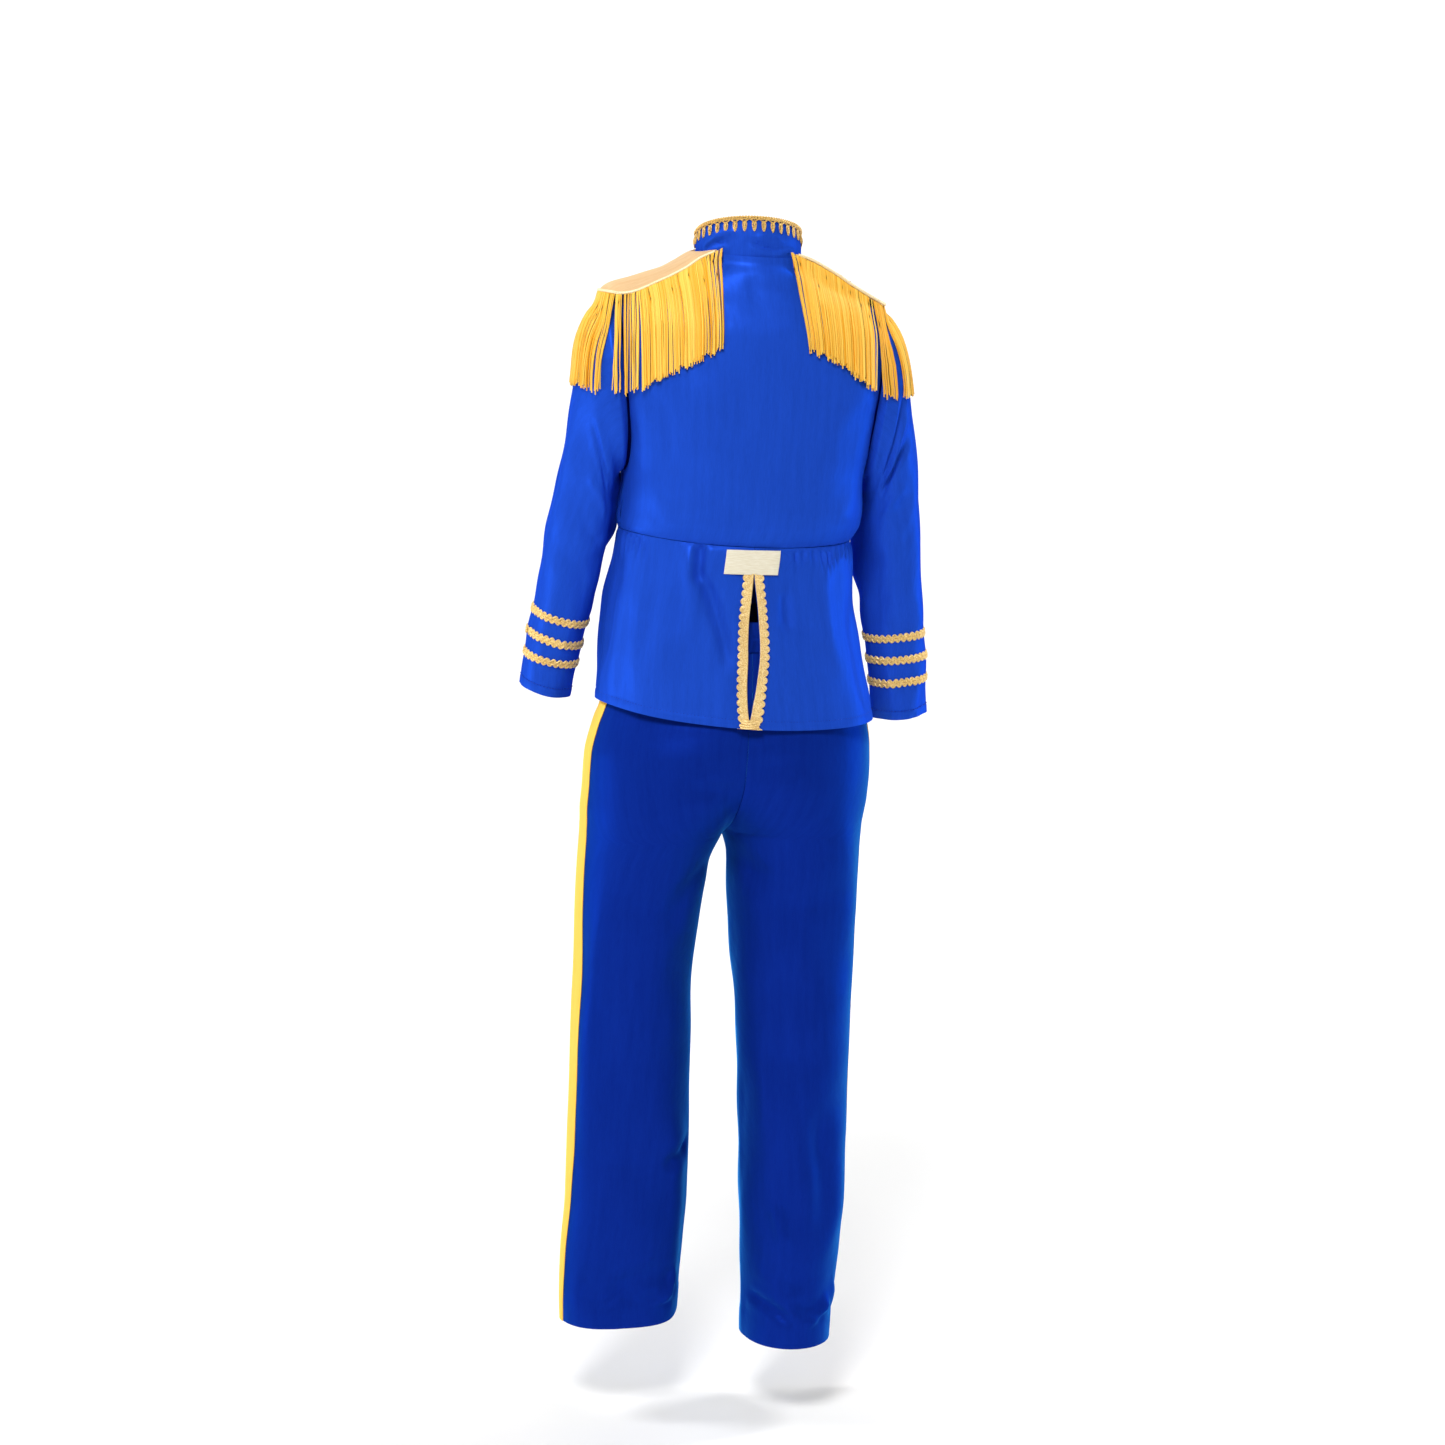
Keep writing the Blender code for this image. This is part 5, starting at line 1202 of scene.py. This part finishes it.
# Epaulette boards. A padded board on each shoulder, covered in old-gold satin and edged with bright
# piping that the fringe hangs from.
board_satin = woven_satin("old_gold_satin", "#eecb9c", "#e2b582", "#fff0d0", 0.42, 0.2)
piping_cord = gimp_yarn("piping_cord", "#fff0c8", "#f0d49a")
BOARD_LEFT = section(("x", "high", "arch"), [
    (38.0, 6.3, 2.6), (55.0, 1.5, 4.8), (70.0, -6.5, 6.5), (95.0, -17.0, 8.0),
    (118.0, -23.5, 11.0), (134.0, -27.5, 12.0), (142.0, -31.5, 10.0), (148.0, -37.0, 6.0)])
BOARD_RIGHT = section(("x", "high", "arch"), [
    (38.0, 0.5, 1.5), (55.0, -5.5, 1.5), (70.0, -13.5, 1.5), (84.0, -22.0, 1.5),
    (94.0, -28.5, 2.0), (107.0, -36.5, 2.0), (120.0, -45.0, 1.5), (134.0, -53.0, 1.0)])
BOARD_END = {"left": 146.0, "right": 133.0}
BOARD_HALF = 38.0
BOARD_WALL = 2.6
PIPING = 3.0
# How far the piping's middle lies outside the board's edge and below it.
PIPING_PLACE = {"left": (1.6, 0.8), "right": (3.0, 0.0)}


def make_board(table, side, end):
    def surface(along, across):
        """along 0 to 1 from the collar to the end, across -1 (front) to 1 (back)."""
        spread = np.minimum(np.abs(across), 1.0)
        inner = 57.5 - 18.2 * spread ** 2.2
        outer = end - 30.0 * (1.0 - np.maximum(1.0 - spread ** 2.7, 0.0) ** (1 / 2.7))
        x = inner + (outer - inner) * along
        s = table(x)
        y = across * BOARD_HALF - 0.5
        z = s["high"] - s["arch"] * spread ** 2
        return np.stack(np.broadcast_arrays(side * x, y, z), axis=-1)
    return surface


def board_outline(surface, shares):
    """Points along the board's free edge: back edge, round end, front edge."""
    edge = np.concatenate((np.linspace(0.03, 1.0, 60), np.ones(90), np.linspace(1.0, 0.03, 60)))
    side = np.concatenate((np.ones(60), np.cos(np.linspace(0.0, math.pi, 92))[1:-1], -np.ones(60)))
    walk = surface(edge, side)
    run = run_along(walk)
    run /= run[-1]
    return np.stack([np.interp(shares, run, walk[:, k]) for k in range(3)], axis=-1)


def level_outward(points):
    """Level direction out of the board at each point of its outline."""
    along = np.gradient(points, axis=0) * np.array((1.0, 1.0, 0.0))
    out = np.stack((along[:, 1], -along[:, 0], along[:, 2]), axis=-1)
    out /= np.linalg.norm(out, axis=1, keepdims=True)
    return -out if np.sum(out * (points - points.mean(axis=0))) < 0 else out


boards = {}
for word, table, side in (("left", BOARD_LEFT, 1), ("right", BOARD_RIGHT, -1)):
    surface = make_board(table, side, BOARD_END[word])
    boards[word] = surface
    along = np.linspace(0.0, 1.0, 48)[:, None]
    across = np.sin(np.linspace(-math.pi / 2, math.pi / 2, 40))[None, :]
    top = surface(along, across)
    inside = top.mean(axis=(0, 1)) - np.array((0.0, 0.0, 60.0))
    rim = np.minimum(np.minimum(1 - along, 0.6) * 90.0, (1 - np.abs(across)) * BOARD_HALF)
    rise = 0.7 * ease(0.0, 5.0, rim) + ripples(top[..., 0], top[..., 1], 51, 30, 0.3)
    top = top + grid_normals(top, inside) * rise[..., None]
    lay_cloth("board_" + word, top, inside, board_satin, ["epaulette_board_" + word],
              thick=BOARD_WALL)

    rim_line = board_outline(surface, np.linspace(0.0, 1.0, 180))
    off, below = PIPING_PLACE[word]
    centre = rim_line + level_outward(rim_line) * off - np.array((0.0, 0.0, below))
    points, faces = cord_mesh([centre], PIPING, 8)
    trim_piece("piping_" + word, points, faces, piping_cord, ["epaulette_cord_" + word])


# Fringe. Bright yellow rayon chainette, about 95 mm long, sewn round the free edge of each board in
# three close rows; each strand hangs by itself, slides over the shoulder and sways a little.
def rayon_strand(name, light, deep):
    """Twisted rayon: glossy, each strand its own yellow, with painted brown shade where strands part."""
    material, tree, shader = start_material(name)
    shade = add_node(tree, "Attribute", attribute_name="strand")
    # The dark brown at the ramp's start is painted shade, for gaps between strands and for shaded ends.
    tone = colour_ramp(tree, shade.outputs["Fac"], (0.0, "#5c3f10"), (1.0, light))
    tone.color_ramp.elements.new(0.3).color = sheet_colour(deep)
    space = add_node(tree, "TexCoord")
    # The twist is 0.8 mm long; it is drawn as 1 mm speckle along the strand.
    twist = add_node(tree, "TexNoise", {"Vector": space.outputs["Object"], "Scale": 900.0, "Detail": 1.0})
    bump = add_node(tree, "Bump", {"Height": twist.outputs["Fac"], "Strength": 0.25, "Distance": 0.0003})
    wire_up(tree, shader, tone, bump)
    shader.inputs["Roughness"].default_value = 0.5
    shader.inputs["Specular IOR Level"].default_value = 0.3
    shader.inputs["Specular Tint"].default_value = sheet_colour("#ffe08a")
    return material


yellow_rayon = rayon_strand("yellow_rayon", "#ffd762", "#eda01e")
FRINGE_LONG = {"left": 94.0, "right": 92.0}
STRAND = 1.2
GUIDES = 76
ROWS = 3
PER_ROW = 235
NODES = 13
# Where the fringe parts: share of the edge, half the gap at the root and at the ends, and how far
# along the edge the strands give way.
PARTINGS = {
    "left": ((0.016, 0.4, 0.7, 0.005), (0.034, 0.2, 0.6, 0.005), (0.300, 0.1, 3.6, 0.018),
             (0.330, 0.5, 3.0, 0.010), (0.350, 0.4, 3.0, 0.008), (0.380, 0.2, 8.0, 0.030),
             (0.42, 0.1, 2.0, 0.010), (0.455, 0.2, 2.6, 0.02)),
    "right": ((0.018, 0.5, 0.9, 0.005), (0.036, 0.3, 0.8, 0.005), (0.325, 0.2, 6.0, 0.022),
              (0.352, 0.4, 3.0, 0.008), (0.388, 0.5, 5.0, 0.016), (0.435, 0.2, 2.4, 0.015),
              (0.20, 0.0, 1.2, 0.01)),
}
# Where strands are missing or caught aside: share of the edge, half the stretch and how many are gone.
THIN = {
    "left": ((0.372, 0.040, 0.58), (0.314, 0.018, 0.68), (0.0, 0.030, 0.8), (0.45, 0.03, 0.5)),
    "right": ((0.330, 0.030, 0.62), (0.392, 0.024, 0.70), (0.0, 0.030, 0.8), (0.45, 0.03, 0.5)),
}
# Inner ends of the heading, which runs on past the board to the collar: x and z, at 44 mm behind.
HEADING = {"left": (34.0, 5.0), "right": (-33.0, 0.5)}
# The heading's distance outside the board's edge and below it, and how the inner strands lean.
ROOT = {"out": 1.6, "below": 2.4}
LEAN = {"left": 0.06, "right": -0.08}
SEED = {"left": 7, "right": 8}
# A strand leaves the edge outwards, less at each node, and its middle clears the cloth by so much.
SWING = {"first": 0.28, "nodes": 3.0, "last": 0.03, "clear": 1.8}
# Scatter of the strands along the edge, share of them that cross a parting, distance of the rows, and
# how far the cut ends differ one by one and lock by lock, over a step of the strand.
STREW = {"along": 0.0008, "crossing": 0.24, "rows": 0.95, "ends": 1.5, "locks": 1.8, "step": 8.5}
# Yellow of the strands between deep (0.3) and light (1), and the share with a painted dark gap or a painted
# shaded end.
TINT = {"middle": 0.74, "spread": 0.2, "painted_gap_shade": 0.10, "shaded": 0.14}


def skin_tree(grids):
    """Outer faces of the cloth under the fringe, for the strands to slide over."""
    points, faces = [], []
    for grid, inside, wrap in grids:
        start = len(points)
        flat = grid.reshape(-1, 3)
        points.extend(map(Vector, flat))
        _, _, quads = grid_faces(*grid.shape[:2], wrap)
        if faces_inwards(flat, quads, inside):
            quads = quads[:, ::-1]
        faces.extend((quads + start).tolist())
    return BVHTree.FromPolygons(points, faces)


tree_parts = [(grid, body_inside, False) for grid in (back_points, front_left_points, front_right_points)]
for word in ("left", "right"):
    grid, middle = (part[:90] for part in sleeves[word][3:5])
    tree_parts.append((grid, middle[:-1].repeat(SLEEVE_TURNS, axis=1).reshape(-1, 3), True))
shoulder_tree = skin_tree(tree_parts)


def clear_of(point, clear):
    """A point moved out of the cloth until it clears it."""
    spot, normal, _, _ = shoulder_tree.find_nearest(Vector(point))
    off = float(np.dot(point - np.array(spot), np.array(normal)))
    return point + np.array(normal) * max(clear - off, 0.0)


def hang(root, outward, length, lean):
    """Path of a strand that leaves the edge, falls straight and slides out over what lies under it."""
    step = length / (NODES - 1)
    escape = outward + np.array((0.0, 0.0, 0.35))
    escape /= np.linalg.norm(escape)
    path = [root]
    for i in range(NODES - 1):
        swing = SWING["first"] * math.exp(-i / SWING["nodes"]) + SWING["last"]
        fall = outward * swing + np.array((lean, 0.0, -1.0))
        guess = path[-1] + fall / np.linalg.norm(fall) * step
        spot, normal, _, _ = shoulder_tree.find_nearest(Vector(guess))
        off = float(np.dot(guess - np.array(spot), np.array(normal)))
        facing = max(float(np.dot(escape, np.array(normal))), 0.4)
        guess = guess + escape * max(SWING["clear"] - off, 0.0) / facing
        way = guess - path[-1]
        path.append(path[-1] + way / np.linalg.norm(way) * step)
    return np.array(path)


for word in ("left", "right"):
    rng = np.random.default_rng(SEED[word])
    surface = boards[word]
    shares = np.linspace(0.0, 1.0, GUIDES)
    rim_line = board_outline(surface, shares)
    out = level_outward(rim_line)
    roots = rim_line + out * ROOT["out"] - np.array((0.0, 0.0, ROOT["below"]))
    # Near the collar the heading bends back round its foot.
    inner_x, inner_z = HEADING[word]
    bend_in = (1 - ease(0.0, 0.055, shares))[:, None]
    roots = roots * (1 - bend_in) + np.array((inner_x, 44.0, inner_z)) * bend_in
    lean = LEAN[word] * np.exp(-shares / 0.06)
    # The strands are a little longer towards both ends of the heading.
    guides = np.array([hang(clear_of(p, 1.2), o, FRINGE_LONG[word] + 9.0 * abs(2 * s - 1) ** 1.5, l)
                       for p, o, s, l in zip(roots, out, shares, lean)])
    for _ in range(4):
        guides[1:-1, 1:] = 0.5 * guides[1:-1, 1:] + 0.25 * (guides[:-2, 1:] + guides[2:, 1:])
        for path in guides:
            for i in range(1, NODES):
                path[i] = clear_of(path[i], 1.5)

    strand_share = np.concatenate([
        (np.arange(PER_ROW) + 0.5 + 0.33 * row) / (PER_ROW + 1) for row in range(ROWS)])
    row_of = np.repeat(np.arange(ROWS), PER_ROW)
    missing = sum(part * np.exp(-((strand_share - middle) / half) ** 2)
                  for middle, half, part in THIN[word])
    kept = rng.uniform(0, 1, len(strand_share)) > missing
    strand_share, row_of = strand_share[kept], row_of[kept]
    count = len(strand_share)
    strand_share = np.clip(strand_share + rng.normal(0, STREW["along"], count), 0.0, 1.0)
    place = strand_share * (GUIDES - 1)
    low = np.clip(place.astype(int), 0, GUIDES - 2)
    t = (place - low)[:, None, None]
    paths = guides[low] * (1 - t) + guides[low + 1] * t
    along = np.gradient(guides, axis=0)
    along = along[low] * (1 - t) + along[low + 1] * t
    along /= np.maximum(np.linalg.norm(along, axis=-1, keepdims=True), 1e-9)
    fall = np.linspace(0.0, 1.0, NODES)[None, :, None]
    # Strands cling together in small locks, give way at the partings, and a few cross over them.
    aside = (0.5 * np.sin(strand_share * 190.0 + 2.0 * np.sin(strand_share * 47.0))
             + rng.normal(0, 0.55, count))[:, None, None] * fall ** 1.5
    for middle, at_root, at_end, reach in PARTINGS[word]:
        off = strand_share - middle
        push = np.sign(off) * np.exp(-np.abs(off) / reach)
        crosses = rng.uniform(0, 1, count) < STREW["crossing"]
        push = push * np.where(crosses, rng.uniform(-0.9, 0.7, count), 1.0)
        aside = aside + push[:, None, None] * (at_root + (at_end - at_root) * fall)
    paths = paths + along * aside
    outward = np.cross(np.gradient(paths, axis=1), along)
    outward /= np.maximum(np.linalg.norm(outward, axis=-1, keepdims=True), 1e-9)
    flip = np.sign(np.sum(outward * out[low][:, None, :], axis=-1, keepdims=True))
    outward = outward * np.where(flip == 0, 1.0, flip)
    lift = 0.2 + STREW["rows"] * row_of + rng.uniform(0, 0.5, count)
    paths = paths + outward * (lift[:, None, None] * (0.35 + 0.65 * fall))
    lock = np.sin(strand_share * 310.0 + 3.0 * np.sin(strand_share * 61.0))
    trim = rng.normal(0.0, STREW["ends"], count) + STREW["locks"] * bend(lock, 0.3)
    paths[:, -1] += (paths[:, -1] - paths[:, -2]) * (trim / STREW["step"])[:, None]

    way = np.gradient(paths, axis=1)
    way /= np.linalg.norm(way, axis=-1, keepdims=True)
    side = np.cross(way, outward)
    side /= np.maximum(np.linalg.norm(side, axis=-1, keepdims=True), 1e-9)
    front = np.cross(side, way)
    corner = np.array((45.0, 135.0, 225.0, 315.0)) * math.pi / 180
    ring = (side[:, :, None] * np.cos(corner)[None, None, :, None]
            + front[:, :, None] * np.sin(corner)[None, None, :, None]) * STRAND / 2
    points = (paths[:, :, None] + ring).reshape(-1, 3)
    first = np.arange(count)[:, None] * NODES * 4
    faces = (first[..., None] + grid_faces(NODES, 4, True)[2]).reshape(-1, 4)
    far_end = (NODES - 1) * 4
    caps = np.concatenate((first + np.array((3, 2, 1, 0)), first + far_end + np.array((0, 1, 2, 3))))
    faces = np.concatenate((faces, caps))
    piece = trim_piece("fringe_" + word, points, faces.tolist(), yellow_rayon,
                       ["epaulette_fringe_" + word])
    # Each strand has its own yellow; short stretches near the heading are painted dark brown as painted
    # shade between strands.
    tint = rng.normal(TINT["middle"], TINT["spread"], count)[:, None].repeat(NODES, axis=1)
    painted_gap_shade = np.nonzero(rng.uniform(0, 1, count) < TINT["painted_gap_shade"])[0]
    tint[painted_gap_shade, rng.integers(1, 4, len(painted_gap_shade))] = 0.0
    # Some strands are painted darker from the middle down, as painted shade.
    shade = np.nonzero(rng.uniform(0, 1, count) < TINT["shaded"])[0]
    tint[shade, 6:] -= 0.3
    values = np.clip(tint, 0, 1).repeat(4, axis=1).ravel().astype(np.float32)
    piece.data.attributes.new("strand", "FLOAT", "POINT").data.foreach_set("value", values)


# Set. A pale seamless backdrop that curves up behind, soft boxes to both sides and the camera at the
# height and turn of the photograph.
def soft_light(name, place, aim, size, power):
    """A round soft box that looks at a point."""
    lamp = bpy.data.lights.new(name, "AREA")
    lamp.shape = "DISK"
    lamp.size = size
    lamp.energy = power
    item = bpy.data.objects.new(name, lamp)
    item.location = place
    item.rotation_euler = (Vector(aim) - Vector(place)).to_track_quat("-Z", "Y").to_euler()
    bpy.context.scene.collection.objects.link(item)


FLOOR = -1.175
BACKDROP = {"half": 14.0, "near": 6.0, "far": -3.0, "bend": 3.0, "top": 9.0}
bpy.ops.mesh.primitive_plane_add(size=1.0, location=(0.0, 0.0, 0.0))
backdrop = bpy.context.active_object
backdrop.name = "backdrop"
half, near, far, curve, top = BACKDROP.values()
steps = [(half, 0.0), (near, 0.0), (0.0, 0.0), (far, 0.0)]
steps += [(far - curve * math.sin(a), curve - curve * math.cos(a))
          for a in np.linspace(0.15, math.pi / 2, 14)]
steps += [(far - curve, top)]
verts = [(x, y, FLOOR + z) for y, z in steps for x in (-half, half)]
quads = [(2 * i, 2 * i + 2, 2 * i + 3, 2 * i + 1) for i in range(len(steps) - 1)]
backdrop.data.clear_geometry()
backdrop.data.from_pydata(verts, [], quads)
backdrop.data.polygons.foreach_set("use_smooth", np.ones(len(quads), dtype=bool))
# White backdrop paper, which is matt.
paper, _, shader = start_material("white_paper")
shader.inputs["Base Color"].default_value = sheet_colour("#f7f7f6")
shader.inputs["Roughness"].default_value = 0.9
backdrop.data.materials.append(paper)

# The point that the camera looks at, its distance, and the width that the picture shows there.
AIM = (0.02536, -0.00114, -0.46663)
AIM_AWAY = 3.64
PICTURE_WIDE = 1.445
soft_light("key", (1.0, 2.45, 2.1), AIM, 1.2, 108.0)
soft_light("left", (2.5, -0.6, -1.0), AIM, 1.4, 26.0)
soft_light("right", (-2.6, -0.5, -0.5), AIM, 1.6, 32.0)
for x in (-3.4, 3.4):
    soft_light("backdrop_light", (x, -1.2, 3.4), (0.5 * x, -5.2, 0.4), 2.0, 190.0)
world = bpy.data.worlds.new("studio")
world.use_nodes = True
world.node_tree.nodes["Background"].inputs["Color"].default_value = (1.0, 1.0, 1.0, 1.0)
world.node_tree.nodes["Background"].inputs["Strength"].default_value = 0.16
bpy.context.scene.world = world
bpy.context.scene.view_settings.view_transform = "Standard"

camera = bpy.data.cameras.new("camera")
camera.sensor_width = 36.0
camera.lens = camera.sensor_width * AIM_AWAY / PICTURE_WIDE
eye = bpy.data.objects.new("camera", camera)
eye.location = (0.77385, 3.52021, 0.07140)
eye.rotation_euler = (Vector(AIM) - eye.location).to_track_quat("-Z", "Y").to_euler()
bpy.context.scene.collection.objects.link(eye)
bpy.context.scene.camera = eye
